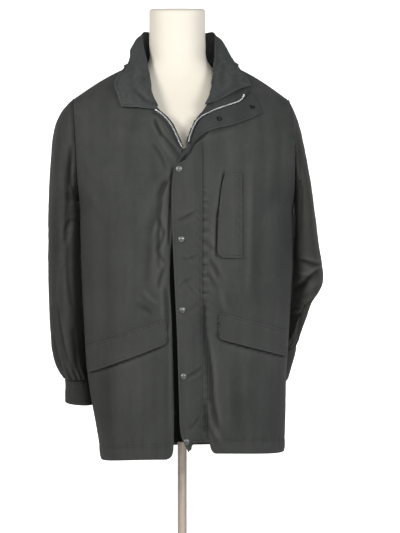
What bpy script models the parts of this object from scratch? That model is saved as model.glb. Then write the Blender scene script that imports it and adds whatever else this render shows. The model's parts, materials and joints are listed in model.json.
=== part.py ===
"""A three-quarter-length zipped coat, worn open at the neck on a limbless dress form with a pole and a base.

Metres, +Z up. The coat faces -Y, and its wearer's right side is at -X. The origin is the centre of the
base's underside. Every cloth piece is a thin wall: a grid of outer points and the same grid moved inwards.
"""

import math
from collections import namedtuple

import bpy
import numpy as np

CLOTH = 0.0022  # wall of the main cloth with its lining
TRIM = 0.0018  # wall of collar, flaps and facings
TAPE = 0.0010  # wall of the zip tape
SEAM_GAP = 0.0004  # between pieces that are sewn together
LIFT = 0.0013  # a piece that lies on a panel starts this far out of it

SIDE_SEAM_Y = 0.005
BACK_Y = 0.128
SHOULDER_FRONT_Y = 0.0098  # the shoulder seam's two edges
SHOULDER_BACK_Y = 0.0102
SHOULDER_START = 1.3  # the rows' bow grows from this height up
SHOULDER_RISE = 0.145
HEM_BOW = 1.6  # and the rows' late fall shrinks from the hem up to this height
HEM_BOW_TOP = 0.80
HEM_BOW_REACH = 0.20
HEM_LIFT_LEFT = (0.074, 0.0135, 0.024)
HEM_LIFT_RIGHT = (0.034, 0.018, 0.020)
HEM_LIFT_TOP = 0.70
HEM_LIFT_REACH = 0.11
ROWS_PANEL = 22
COLS_FRONT = 13
COLS_BACK = 23
ROUND_SLEEVE = 18
RINGS_SLEEVE = 14

POLE_RADIUS = 0.0105
BASE_RADIUS = 0.175
BASE_THICKNESS = 0.008
FORM_BOTTOM = 0.665

ROWS_READ = 140  # the fine grids that flaps, snaps and collar are laid on
COLS_READ = 90
ROWS_BACK_READ = 100
COLS_BACK_READ = 121
SEARCH_STEPS = 10
FOLD_END = 0.35  # what is left of a fold's depth at its ends
MOST_LEAN = 0.6  # radians that a sleeve's section leans back at most

Row = namedtuple("Row", "z_in z_out x_in y_in x_out y_out roundness")
BackRow = namedtuple("BackRow", "z_mid z_right z_left x_right x_left y_mid roundness")
Ring = namedtuple("Ring", "x_out z_out x_in z_in y depth squareness")
Fold = namedtuple("Fold", "x0 z0 x1 z1 width depth")
Level = namedtuple("Level", "z x half_width y half_depth squareness")


# ---------------------------------------------------------------- curves and grids


def smooth(keys, values, at):
    """Cubic curve through values at rising keys, read at each number of at."""
    keys = np.asarray(keys, float)
    values = np.asarray(values, float)
    at = np.clip(np.asarray(at, float), keys[0], keys[-1])
    slopes = np.gradient(values, keys, axis=0)
    index = np.clip(np.searchsorted(keys, at, side="right") - 1, 0, len(keys) - 2)
    span = keys[index + 1] - keys[index]
    u = (at - keys[index]) / span
    if values.ndim > 1:
        u, span = u[:, None], span[:, None]
    h00 = 2 * u**3 - 3 * u**2 + 1
    h10 = u**3 - 2 * u**2 + u
    h01 = 3 * u**2 - 2 * u**3
    h11 = u**3 - u**2
    start = h00 * values[index] + h10 * span * slopes[index]
    return start + h01 * values[index + 1] + h11 * span * slopes[index + 1]


def even_rows(table, count):
    """The table's rows, resampled to count rows evenly spaced along its chord lengths."""
    numbers = np.array(table, float)
    steps = np.linalg.norm(np.diff(numbers[:, :6], axis=0), axis=1)
    keys = np.concatenate([[0.0], np.cumsum(steps)])
    return smooth(keys, numbers, np.linspace(0, keys[-1], count))


def net(points, rows, cols):
    """A rows x cols grid through a small net of hand-placed points."""
    points = np.array(points, float)
    down = np.arange(points.shape[0])
    across = np.arange(points.shape[1])
    tall = smooth(down, points.reshape(len(down), -1), np.linspace(0, down[-1], rows))
    tall = tall.reshape(rows, len(across), 3).transpose(1, 0, 2).reshape(len(across), -1)
    wide = smooth(across, tall, np.linspace(0, across[-1], cols))
    return wide.reshape(cols, rows, 3).transpose(1, 0, 2)


def unit(vectors):
    """The vectors at length one."""
    return vectors / np.maximum(np.linalg.norm(vectors, axis=-1, keepdims=True), 1e-12)


def grid_normals(grid, closed=False):
    """Unit normals of a grid: along rows x along columns. closed joins its last column to its first."""
    if closed:
        along = np.roll(grid, -1, axis=1) - np.roll(grid, 1, axis=1)
    else:
        along = np.gradient(grid, axis=1)
    return unit(np.cross(along, np.gradient(grid, axis=0)))


def flatten(normals, where, axis):
    """Turns the normals at a seam into its plane, so that the walls either side don't cross."""
    normals[where + (axis,)] = 0.0
    normals[where] = unit(normals[where])


def segment_distance(x, z, fold):
    """Distance from each (x, z) to the fold's line, and the place along it from 0 to 1."""
    dx, dz = fold.x1 - fold.x0, fold.z1 - fold.z0
    along = np.clip(((x - fold.x0) * dx + (z - fold.z0) * dz) / (dx * dx + dz * dz), 0, 1)
    return np.hypot(x - fold.x0 - along * dx, z - fold.z0 - along * dz), along


def folded(grid, folds):
    """The grid with each fold pressed in (depth above 0) or raised (below 0) along Y."""
    grid = grid.copy()
    for fold in folds:
        away, along = segment_distance(grid[..., 0], grid[..., 2], fold)
        taper = FOLD_END + (1 - FOLD_END) * np.sin(np.pi * along)
        grid[..., 1] += fold.depth * taper * np.exp(-((away / fold.width) ** 2))
    return grid


# ---------------------------------------------------------------- solids


def material(name, colour, roughness, metallic=0.0):
    """A plain material with a linear RGB colour."""
    made = bpy.data.materials.new(name)
    made.use_nodes = True
    shader = made.node_tree.nodes["Principled BSDF"]
    shader.inputs["Base Color"].default_value = (*colour, 1.0)
    shader.inputs["Roughness"].default_value = roughness
    shader.inputs["Metallic"].default_value = metallic
    return made


def place(name, points, faces, finish):
    """A named mesh object in the scene."""
    mesh = bpy.data.meshes.new(name)
    mesh.from_pydata([tuple(point) for point in points], [], faces)
    mesh.validate()
    mesh.shade_smooth()
    mesh.materials.append(finish)
    made = bpy.data.objects.new(name, mesh)
    bpy.context.scene.collection.objects.link(made)
    return made


def wall(name, outer, normals, thickness, finish, closed=False):
    """A closed solid between the outer grid and the same grid moved inwards by the thickness."""
    rows, cols = outer.shape[:2]
    inner = outer - normals * thickness
    points = np.concatenate([outer.reshape(-1, 3), inner.reshape(-1, 3)])
    half = rows * cols
    last = cols if closed else cols - 1
    faces = []
    for r in range(rows - 1):
        for c in range(last):
            a, b = r * cols + c, r * cols + (c + 1) % cols
            d, e = a + cols, b + cols
            faces.append((a, b, e, d))
            faces.append((half + a, half + d, half + e, half + b))
    for c in range(last):
        a, b = c, (c + 1) % cols
        faces.append((a, half + a, half + b, b))
        a, b = a + (rows - 1) * cols, b + (rows - 1) * cols
        faces.append((a, b, half + b, half + a))
    if not closed:
        for r in range(rows - 1):
            a, b = r * cols, (r + 1) * cols
            faces.append((a, b, half + b, half + a))
            a, b = a + cols - 1, b + cols - 1
            faces.append((a, half + a, half + b, b))
    volume = signed_volume(points, faces)
    if volume < 0:
        faces = [face[::-1] for face in faces]
    return place(name, points, faces, finish)


def signed_volume(points, faces):
    """Above 0 when the faces of a closed mesh point outwards."""
    total = 0.0
    for face in faces:
        corners = points[list(face)]
        for i in range(1, len(face) - 1):
            total += np.dot(corners[0], np.cross(corners[i], corners[i + 1]))
    return total


def stack(name, rings, finish):
    """A closed solid through rings of points, with flat ends."""
    rings = np.array(rings, float)
    count, around = rings.shape[:2]
    points = rings.reshape(-1, 3)
    faces = [tuple(range(around)), tuple(range((count - 1) * around, count * around))[::-1]]
    for r in range(count - 1):
        for c in range(around):
            a, b = r * around + c, r * around + (c + 1) % around
            faces.append((a, a + around, b + around, b))
    if signed_volume(points, faces) < 0:
        faces = [face[::-1] for face in faces]
    return place(name, points, faces, finish)


def disc_rings(centre, axis, profile, around):
    """Rings about an axis: profile holds (radius, height along the axis)."""
    axis = unit(np.array(axis, float))
    side = unit(np.cross(axis, [0.0, 0.3, 1.0]))
    other = np.cross(axis, side)
    turns = np.linspace(0, 2 * math.pi, around, endpoint=False)
    circle = np.cos(turns)[:, None] * side + np.sin(turns)[:, None] * other
    return [np.array(centre) + axis * height + circle * radius for radius, height in profile]


# ---------------------------------------------------------------- the garment's tables

# Shoulder, armhole and neck, shared by the pieces that meet there. (x, z) from underarm to shoulder end.
ARMHOLE_RIGHT = [(-0.229, 1.135), (-0.2318, 1.246), (-0.2385, 1.331), (-0.243, 1.363)]
ARMHOLE_LEFT = [(0.249, 1.130), (0.2470, 1.250), (0.2420, 1.318), (0.238, 1.360)]
ARMHOLE_HALF_DEPTH = 0.081
ARMHOLE_Y = 0.0075
NECK_POINT_X = 0.096
NECK_POINT_Z = 1.445
SHOULDER_CROWN = 0.007
BACK_NECK_Y = 0.078

# Each row runs from the front edge or roll line to the side seam; above the underarm the outer end
# follows the armhole instead.
FRONT_RIGHT = [
    Row(0.574, 0.560, -0.016, -0.146, -0.1815, SIDE_SEAM_Y, 2.7),
    Row(0.640, 0.632, -0.015, -0.150, -0.1935, SIDE_SEAM_Y, 2.6),
    Row(0.740, 0.735, -0.016, -0.152, -0.2100, SIDE_SEAM_Y, 2.5),
    Row(0.850, 0.850, -0.019, -0.152, -0.219, SIDE_SEAM_Y, 2.4),
    Row(0.970, 0.965, -0.024, -0.150, -0.224, SIDE_SEAM_Y, 2.4),
    Row(1.080, 1.060, -0.017, -0.148, -0.227, SIDE_SEAM_Y, 2.4),
    Row(1.160, 1.135, -0.010, -0.145, -0.229, SIDE_SEAM_Y, 2.3),
    Row(1.237, 1.180, 0.001, -0.140, -0.231, SIDE_SEAM_Y, 2.1),
    Row(1.274, 1.235, -0.011, -0.132, -0.232, SIDE_SEAM_Y, 1.9),
    Row(1.305, 1.280, -0.031, -0.122, -0.235, SIDE_SEAM_Y, 1.7),
    Row(1.345, 1.316, -0.063, -0.098, -0.238, SIDE_SEAM_Y, 1.5),
    Row(1.392, 1.343, -0.079, -0.060, -0.241, SIDE_SEAM_Y, 1.3),
    Row(NECK_POINT_Z, 1.363, -NECK_POINT_X, SHOULDER_FRONT_Y, -0.243, SHOULDER_FRONT_Y, 1.0),
]
FRONT_LEFT = [
    Row(0.587, 0.577, 0.023, -0.146, 0.2287, SIDE_SEAM_Y, 2.7),
    Row(0.648, 0.640, 0.023, -0.152, 0.2307, SIDE_SEAM_Y, 2.6),
    Row(0.740, 0.740, 0.023, -0.156, 0.2325, SIDE_SEAM_Y, 2.5),
    Row(0.850, 0.850, 0.023, -0.156, 0.239, SIDE_SEAM_Y, 2.4),
    Row(0.970, 0.965, 0.022, -0.152, 0.246, SIDE_SEAM_Y, 2.4),
    Row(1.080, 1.060, 0.021, -0.149, 0.249, SIDE_SEAM_Y, 2.4),
    Row(1.160, 1.130, 0.018, -0.146, 0.249, SIDE_SEAM_Y, 2.3),
    Row(1.235, 1.178, 0.013, -0.141, 0.249, SIDE_SEAM_Y, 2.1),
    Row(1.274, 1.234, 0.020, -0.133, 0.248, SIDE_SEAM_Y, 1.9),
    Row(1.305, 1.278, 0.036, -0.122, 0.245, SIDE_SEAM_Y, 1.7),
    Row(1.345, 1.313, 0.060, -0.098, 0.243, SIDE_SEAM_Y, 1.5),
    Row(1.392, 1.340, 0.078, -0.060, 0.240, SIDE_SEAM_Y, 1.3),
    Row(NECK_POINT_Z, 1.360, NECK_POINT_X, SHOULDER_FRONT_Y, 0.238, SHOULDER_FRONT_Y, 1.0),
]
# The back is one panel: z at its middle and at its two edges, its half widths and its depth.
BACK = [
    BackRow(0.568, 0.560, 0.577, -0.1815, 0.2287, 0.120, 2.3),
    BackRow(0.640, 0.632, 0.640, -0.1935, 0.2307, 0.124, 2.3),
    BackRow(0.740, 0.735, 0.740, -0.2100, 0.2325, BACK_Y, 2.3),
    BackRow(0.850, 0.850, 0.850, -0.219, 0.239, 0.130, 2.3),
    BackRow(0.970, 0.965, 0.965, -0.224, 0.246, BACK_Y, 2.3),
    BackRow(1.080, 1.060, 1.060, -0.227, 0.249, 0.126, 2.3),
    BackRow(1.160, 1.135, 1.130, -0.229, 0.249, 0.126, 2.3),
    BackRow(1.235, 1.185, 1.182, -0.231, 0.249, BACK_Y, 2.1),
    BackRow(1.305, 1.250, 1.247, -0.233, 0.247, 0.124, 1.9),
    BackRow(1.365, 1.305, 1.302, -0.237, 0.243, 0.112, 1.7),
    BackRow(1.410, 1.340, 1.337, -0.241, 0.240, 0.095, 1.5),
    BackRow(1.445, 1.363, 1.360, -0.243, 0.238, BACK_NECK_Y, 1.3),
]

# Sleeve sections below the armhole: the ends of each section's width, its place in depth and half depth.
SLEEVE_RIGHT = [
    Ring(-0.268, 1.335, -0.2330, 1.128, 0.007, 0.083, 2.0),
    Ring(-0.284, 1.300, -0.2305, 1.118, 0.009, 0.086, 2.0),
    Ring(-0.2935, 1.240, -0.2291, 1.095, 0.013, 0.088, 2.0),
    Ring(-0.2990, 1.160, -0.2278, 1.055, 0.019, 0.088, 2.1),
    Ring(-0.3020, 1.060, -0.2264, 1.000, 0.026, 0.087, 2.2),
    Ring(-0.3035, 0.950, -0.2236, 0.925, 0.034, 0.084, 2.2),
    Ring(-0.3000, 0.862, -0.2200, 0.855, 0.040, 0.080, 2.2),
    Ring(-0.2940, 0.785, -0.2132, 0.783, 0.044, 0.074, 2.2),
    Ring(-0.2815, 0.752, -0.2102, 0.752, 0.045, 0.067, 2.2),
    Ring(-0.2670, 0.7320, -0.2082, 0.7320, 0.045, 0.059, 2.3),
]
CUFF_RIGHT = [
    Ring(-0.2666, 0.7305, -0.2080, 0.7305, 0.045, 0.059, 2.3),
    Ring(-0.2655, 0.7190, -0.2062, 0.7180, 0.045, 0.059, 2.4),
    Ring(-0.2665, 0.7000, -0.2030, 0.6980, 0.046, 0.059, 2.4),
    Ring(-0.2670, 0.6800, -0.1990, 0.6740, 0.047, 0.058, 2.4),
]
SLEEVE_LEFT = [
    Ring(0.2480, 1.337, 0.2512, 1.124, 0.007, 0.083, 2.0),
    Ring(0.2608, 1.299, 0.2507, 1.112, 0.009, 0.086, 2.0),
    Ring(0.2762, 1.237, 0.2501, 1.090, 0.011, 0.088, 2.0),
    Ring(0.2887, 1.165, 0.2497, 1.050, 0.013, 0.088, 2.1),
    Ring(0.3015, 1.080, 0.2486, 1.012, 0.015, 0.086, 2.2),
    Ring(0.3112, 1.015, 0.2482, 0.985, 0.020, 0.084, 2.2),
    Ring(0.3212, 0.972, 0.2468, 0.955, 0.030, 0.082, 2.2),
    Ring(0.3055, 0.938, 0.2440, 0.915, 0.048, 0.080, 2.2),
    Ring(0.2895, 0.898, 0.2385, 0.875, 0.068, 0.077, 2.2),
    Ring(0.2745, 0.848, 0.2300, 0.830, 0.090, 0.070, 2.2),
    Ring(0.2640, 0.817, 0.2180, 0.800, 0.103, 0.060, 2.3),
]
CUFF_LEFT = [
    Ring(0.2636, 0.8155, 0.2176, 0.7985, 0.1036, 0.060, 2.3),
    Ring(0.2620, 0.7950, 0.2110, 0.7790, 0.109, 0.059, 2.4),
    Ring(0.2530, 0.7600, 0.2020, 0.7440, 0.118, 0.059, 2.4),
    Ring(0.2460, 0.7330, 0.1950, 0.7180, 0.124, 0.058, 2.4),
]
PLEATS = 6
PLEAT_SWELL = 0.05
ARMHOLE_GAP = 0.0010

# The largest folds: a trough has a depth above 0, a ridge one below 0.
FOLDS_RIGHT = [
    Fold(-0.026, 1.165, -0.074, 0.955, 0.016, 0.0040),
    Fold(-0.074, 0.955, -0.060, 0.640, 0.022, 0.0025),
    Fold(-0.100, 1.285, -0.190, 1.180, 0.020, 0.0030),
    Fold(-0.050, 1.150, -0.040, 0.900, 0.012, -0.0025),
    Fold(-0.150, 1.020, -0.160, 0.620, 0.024, 0.0030),
]
FOLDS_LEFT = [
    Fold(0.205, 1.180, 0.170, 0.980, 0.022, 0.0035),
    Fold(0.165, 0.800, 0.150, 0.610, 0.024, 0.0030),
    Fold(0.052, 0.900, 0.060, 0.640, 0.012, 0.0035),
    Fold(0.075, 0.840, 0.090, 0.600, 0.020, -0.0035),
]
FOLDS_BACK = [
    Fold(-0.170, 1.180, -0.080, 0.900, 0.024, -0.0040),
    Fold(0.180, 1.180, 0.090, 0.900, 0.024, -0.0040),
    Fold(0.010, 0.980, 0.000, 0.600, 0.026, -0.0040),
    Fold(-0.120, 0.900, -0.130, 0.600, 0.022, -0.0035),
    Fold(0.130, 0.900, 0.140, 0.600, 0.022, -0.0035),
]


# ---------------------------------------------------------------- body panels


def armhole_x(side, z):
    """How far out the armhole lies at each height."""
    keys = np.array(side)
    return smooth(keys[:, 1], keys[:, 0], z)


def armhole_y(side, z):
    """Depth of the armhole's loop before or behind its middle at each height."""
    low, high = side[0][1], side[-1][1]
    height = np.clip((z - (low + high) / 2) / ((high - low) / 2), -1, 1)
    return ARMHOLE_HALF_DEPTH * np.sqrt(1 - height**2)


def quarter(start, end, fraction, roundness, sine):
    """From start to end along one quarter of a superellipse; sine picks the coordinate that leaves first."""
    turn = fraction * math.pi / 2
    share = np.sin(turn) ** (2 / roundness) if sine else 1 - np.cos(turn) ** (2 / roundness)
    return start + (end - start) * share


def hem_bow(share, z):
    """How a row falls from its inner to its outer end: late near the hem, evenly above it."""
    return share ** (1 + HEM_BOW * np.clip((HEM_BOW_TOP - z) / HEM_BOW_REACH, 0, 1))


def hem_lift(x, z, lift):
    """How far the hem is pulled up beside the opening: lift holds where it ends, its width and height."""
    end, width, height = lift
    share = np.clip((end - np.abs(x)) / width, 0, 1)
    return height * (1 - np.sqrt(1 - share * share)) * np.clip((HEM_LIFT_TOP - z) / HEM_LIFT_REACH, 0, 1)


def shoulder_rise(share, z):
    """How much a row bows up between the neck and the shoulder end."""
    return SHOULDER_CROWN * np.sin(math.pi * share) * np.clip((z - SHOULDER_START) / SHOULDER_RISE, 0, 1)


def front_grid(table, side, folds, rows=ROWS_PANEL, cols=COLS_FRONT):
    """Outer points of a front panel, from the hem up, and from its front edge to its side."""
    grid = np.zeros((rows, cols, 3))
    across = np.linspace(0, 1, cols)
    for r, numbers in enumerate(even_rows(table, rows)):
        z_in, z_out, x_in, y_in, x_out, y_out, roundness = numbers
        if r == rows - 1:
            y_out = y_in
        elif z_out > side[0][1]:
            x_out = armhole_x(side, z_out)
            y_out = ARMHOLE_Y - armhole_y(side, z_out)
        x = quarter(x_in, x_out, across, roundness, True)
        y = quarter(y_in, y_out, across, roundness, False)
        share = (x - x_in) / (x_out - x_in)
        z = z_in + (z_out - z_in) * hem_bow(share, z_in) + shoulder_rise(share, z_in)
        z += hem_lift(x, z_in, HEM_LIFT_LEFT if side is ARMHOLE_LEFT else HEM_LIFT_RIGHT)
        grid[r] = np.stack([x, y, z], axis=1)
    return folded(grid, folds)


def back_grid(rows=ROWS_PANEL, cols=COLS_BACK):
    """Outer points of the back, from the hem up, and from the wearer's right to the left."""
    grid = np.zeros((rows, cols, 3))
    half = cols // 2
    across = np.linspace(0, 1, half + 1)
    for r, numbers in enumerate(even_rows(BACK, rows)):
        z_mid, z_right, z_left, x_right, x_left, y_mid, roundness = numbers
        for side, x_out, z_out in ((ARMHOLE_RIGHT, x_right, z_right), (ARMHOLE_LEFT, x_left, z_left)):
            y_out = SIDE_SEAM_Y + SEAM_GAP
            if z_out > side[0][1]:
                x_out = armhole_x(side, z_out)
                y_out = ARMHOLE_Y + armhole_y(side, z_out)
            x = quarter(0.0, x_out, across, roundness, True)
            y = quarter(y_mid, y_out, across, roundness, False)
            share = np.abs(x / x_out)
            z = z_mid + (z_out - z_mid) * share**1.5 + shoulder_rise(share, z_mid)
            if r == rows - 1:
                inside = np.clip(1 - (x / NECK_POINT_X) ** 2, 0, 1)
                y = SHOULDER_BACK_Y + (BACK_NECK_Y - SHOULDER_BACK_Y) * np.sqrt(inside)
                along = np.clip((np.abs(x) - NECK_POINT_X) / (abs(x_out) - NECK_POINT_X), 0, 1)
                z = NECK_POINT_Z + (z_out - NECK_POINT_Z) * along + SHOULDER_CROWN * np.sin(math.pi * along)
            strip = np.stack([x, y, z], axis=1)
            if side is ARMHOLE_RIGHT:
                grid[r, : half + 1] = strip[::-1]
            else:
                grid[r, half:] = strip
    return folded(grid, FOLDS_BACK)


def panel_normals(grid, side, columns, outward):
    """Normals that point out of the coat, turned into the seam's plane at the shoulder, side and armhole."""
    normals = grid_normals(grid)
    middle = normals[grid.shape[0] // 2, grid.shape[1] // 2]
    if middle[1] * outward < 0:
        normals = -normals
    flatten(normals, (-1, slice(None)), 1)
    for column in columns:
        arm = side if column == -1 else ARMHOLE_RIGHT
        low = grid[:, column, 2] <= arm[0][1] + 0.004
        flatten(normals, (low, column), 1)
        flatten(normals, (~low, column), 0)
    return normals


# ---------------------------------------------------------------- sleeves


def ring_points(ring, run, around, ripple=0.0):
    """A closed superellipse between the ring's two end points, leaning back as the sleeve's run does."""
    outer = np.array([ring[0], ring[4], ring[1]])
    inner = np.array([ring[2], ring[4], ring[3]])
    wide = (outer - inner) / 2
    lean = np.clip(math.atan2(run[1], -run[2]), 0, MOST_LEAN)
    deep = np.array([0.0, math.cos(lean), math.sin(lean)]) * ring[5]
    turns = np.linspace(0, 2 * math.pi, around, endpoint=False)
    swell = 1 + ripple * np.cos(turns * PLEATS)
    a = np.sign(np.cos(turns)) * np.abs(np.cos(turns)) ** (2 / ring[6]) * swell
    b = np.sign(np.sin(turns)) * np.abs(np.sin(turns)) ** (2 / ring[6]) * swell
    return (outer + inner) / 2 + a[:, None] * wide + b[:, None] * deep


def armhole_ring(side, around, out):
    """The armhole's loop, moved out by a small gap."""
    low, high = side[0][1], side[-1][1]
    turns = np.linspace(0, 2 * math.pi, around, endpoint=False)
    z = (low + high) / 2 + (high - low) / 2 * np.cos(turns)
    y = ARMHOLE_Y + ARMHOLE_HALF_DEPTH * np.sin(turns)
    return np.stack([armhole_x(side, z) + out, y, z], axis=1)


def middle_of(ring):
    """The middle of a sleeve's section."""
    return np.array([(ring[0] + ring[2]) / 2, ring[4], (ring[1] + ring[3]) / 2])


def arm_rings(table, count, around, last_run, pleat=0.0):
    """Rings through a table of sections, and the way the arm runs at each; last_run is that of its end."""
    numbers = np.array(table, float)
    centres = np.array([middle_of(ring) for ring in numbers])
    keys = np.arange(len(numbers))
    at = np.linspace(0, keys[-1], count)
    sections = smooth(keys, numbers, at)
    runs = unit(np.gradient(smooth(keys, centres, at), axis=0))
    share = np.clip(np.linspace(-3, 1, count), 0, 1)[:, None]
    runs = unit(runs * (1 - share) + last_run * share)
    strengths = pleat * np.linspace(0, 1, count) ** 6
    return np.array([ring_points(sections[i], runs[i], around, strengths[i]) for i in range(count)]), runs


def tube_normals(grid, runs):
    """Outward normals of a tube, turned into the plane of its end rings."""
    normals = grid_normals(grid, closed=True)
    away = grid - grid.mean(axis=1, keepdims=True)
    normals = normals if (normals * away).sum() > 0 else -normals
    for end in (0, -1):
        along = (normals[end] @ runs[end])[:, None] * runs[end]
        normals[end] = unit(normals[end] - along)
    return normals


def build_arm(side_name, sleeve, cuff, side, sign, finish):
    """A sleeve from its armhole to its pleated end, and the cuff below it."""
    cuff_run = unit(middle_of(cuff[-1]) - middle_of(cuff[0]))
    rings, runs = arm_rings(sleeve, RINGS_SLEEVE, ROUND_SLEEVE, cuff_run, PLEAT_SWELL)
    grid = np.concatenate([armhole_ring(side, ROUND_SLEEVE, sign * ARMHOLE_GAP)[None], rings])
    normals = tube_normals(grid, np.concatenate([[[sign, 0.0, 0.0]], runs]))
    wall("sleeve_" + side_name, grid, normals, CLOTH, finish, closed=True)
    rings = np.array([ring_points(ring, cuff_run, ROUND_SLEEVE) for ring in cuff])
    normals = tube_normals(rings, np.array([cuff_run] * len(cuff)))
    wall("cuff_" + side_name, rings, normals, CLOTH, finish, closed=True)


# ---------------------------------------------------------------- pieces that lie on the fronts

Strip = namedtuple("Strip", "x0 z0 x1 z1")
CollarStation = namedtuple("CollarStation", "base roll edge")

# Turned-out front edges, from the top down: the roll line's side, then the zip's side.
FACING_RIGHT = [
    Strip(-0.0480, 1.3205, -0.0600, 1.3160),
    Strip(-0.0370, 1.3115, -0.0450, 1.3050),
    Strip(-0.0265, 1.3010, -0.0345, 1.2940),
    Strip(-0.0165, 1.2880, -0.0250, 1.2820),
    Strip(-0.0080, 1.2705, -0.0165, 1.2655),
    Strip(0.0000, 1.2520, -0.0080, 1.2480),
    Strip(0.0055, 1.2400, -0.0010, 1.2360),
]
FACING_LEFT = [
    Strip(0.1460, 1.3740, 0.1360, 1.3500),
    Strip(0.1260, 1.3620, 0.1210, 1.3390),
    Strip(0.0940, 1.3420, 0.0985, 1.3300),
    Strip(0.0640, 1.3260, 0.0710, 1.3195),
    Strip(0.0410, 1.3110, 0.0470, 1.3055),
    Strip(0.0270, 1.2920, 0.0335, 1.2905),
    Strip(0.0165, 1.2670, 0.0245, 1.2680),
    Strip(0.0105, 1.2490, 0.0185, 1.2480),
]
STORM_FLAP_TURNED = [
    Strip(0.1520, 1.3660, 0.1725, 1.3160),
    Strip(0.1370, 1.3485, 0.1535, 1.3045),
    Strip(0.1215, 1.3375, 0.1320, 1.2955),
    Strip(0.0990, 1.3285, 0.1084, 1.2870),
    Strip(0.0715, 1.3180, 0.0784, 1.2795),
    Strip(0.0480, 1.3040, 0.0571, 1.2725),
    Strip(0.0350, 1.2885, 0.0400, 1.2630),
    Strip(0.0258, 1.2665, 0.0290, 1.2500),
    Strip(0.0190, 1.2455, 0.0185, 1.2320),
    Strip(0.0110, 1.2400, 0.0060, 1.2190),
    Strip(0.0030, 1.2330, -0.0085, 1.2060),
]
# The storm flap from its point at the hem up: its free edge, its middle and its stitched edge.
STORM_FLAP = [
    ((0.0150, 0.5920), (0.0270, 0.6005), (0.0455, 0.6080)),
    ((-0.0010, 0.6320), (0.0220, 0.6350), (0.0455, 0.6380)),
    ((-0.0045, 0.7000), (0.0205, 0.7000), (0.0455, 0.7000)),
    ((-0.0080, 0.8200), (0.0188, 0.8200), (0.0455, 0.8200)),
    ((-0.0125, 0.9200), (0.0165, 0.9200), (0.0455, 0.9200)),
    ((-0.0175, 1.0200), (0.0140, 1.0200), (0.0455, 1.0200)),
    ((-0.0205, 1.1100), (0.0125, 1.1100), (0.0455, 1.1100)),
    ((-0.0200, 1.1600), (0.0130, 1.1700), (0.0455, 1.1950)),
    ((-0.0135, 1.1980), (0.0135, 1.2160), (0.0455, 1.2530)),
]
CHEST_FLAP = [
    Strip(0.0860, 1.0030, 0.1300, 1.0020),
    Strip(0.0785, 1.0150, 0.1300, 1.0140),
    Strip(0.0765, 1.0420, 0.1300, 1.0420),
    Strip(0.0792, 1.0942, 0.1300, 1.0942),
    Strip(0.0825, 1.1368, 0.1300, 1.1368),
    Strip(0.0867, 1.1623, 0.1300, 1.1640),
    Strip(0.0931, 1.1836, 0.1300, 1.1850),
]
# Pocket flaps from the end near the front edge to the side: top edge, then bottom edge.
POCKET_FLAP_LEFT = [
    Strip(0.0785, 0.8700, 0.0785, 0.8420),
    Strip(0.0840, 0.8870, 0.0850, 0.8300),
    Strip(0.1247, 0.8760, 0.1246, 0.8185),
    Strip(0.1712, 0.8630, 0.1680, 0.8060),
    Strip(0.2050, 0.8530, 0.2010, 0.7960),
    Strip(0.2310, 0.8450, 0.2260, 0.7880),
]
POCKET_FLAP_RIGHT = [
    Strip(-0.0300, 0.8520, -0.0300, 0.8330),
    Strip(-0.0370, 0.8720, -0.0350, 0.8200),
    Strip(-0.0680, 0.8610, -0.0660, 0.8060),
    Strip(-0.1060, 0.8480, -0.1050, 0.7910),
    Strip(-0.1441, 0.8340, -0.1430, 0.7755),
    Strip(-0.1850, 0.8200, -0.1760, 0.7630),
    Strip(-0.2100, 0.8110, -0.1990, 0.7550),
]
TAPE_WIDTH = 0.0115
TAPE_ROWS = 14
TAPE_TOP = 1.236
TAPE_SHARE = 0.45  # of the room between the fronts, where that is narrow
TAPE_APART = 0.0012
TAPE_GAP = 0.0016  # from the front edges
UNDERLAP_WIDTH = 0.022
TAPE_BOTTOM = 0.612
SNAP_AROUND = 10
SNAP_HEIGHTS = [(-0.0046, 1.192), (0.0005, 1.043), (0.0030, 0.893), (0.0051, 0.753), (0.0114, 0.613)]
SNAP_SOCKETS = [(0.1515, 1.3270), (0.0806, 1.2995)]
SNAP_CAP = [(0.0040, 0.0), (0.0065, 0.0), (0.0066, 0.0012), (0.0058, 0.0022), (0.0030, 0.0026)]
SNAP_SOCKET = [(0.0030, 0.0), (0.0055, 0.0), (0.0057, 0.0010), (0.0042, 0.0018), (0.0025, 0.0019)]

FLAP_LIFT = 0.0030
SNAP_GAP = 0.0011
TURNED_LIFT = 0.0032
COLLAR_LIFT = 0.0075

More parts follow.
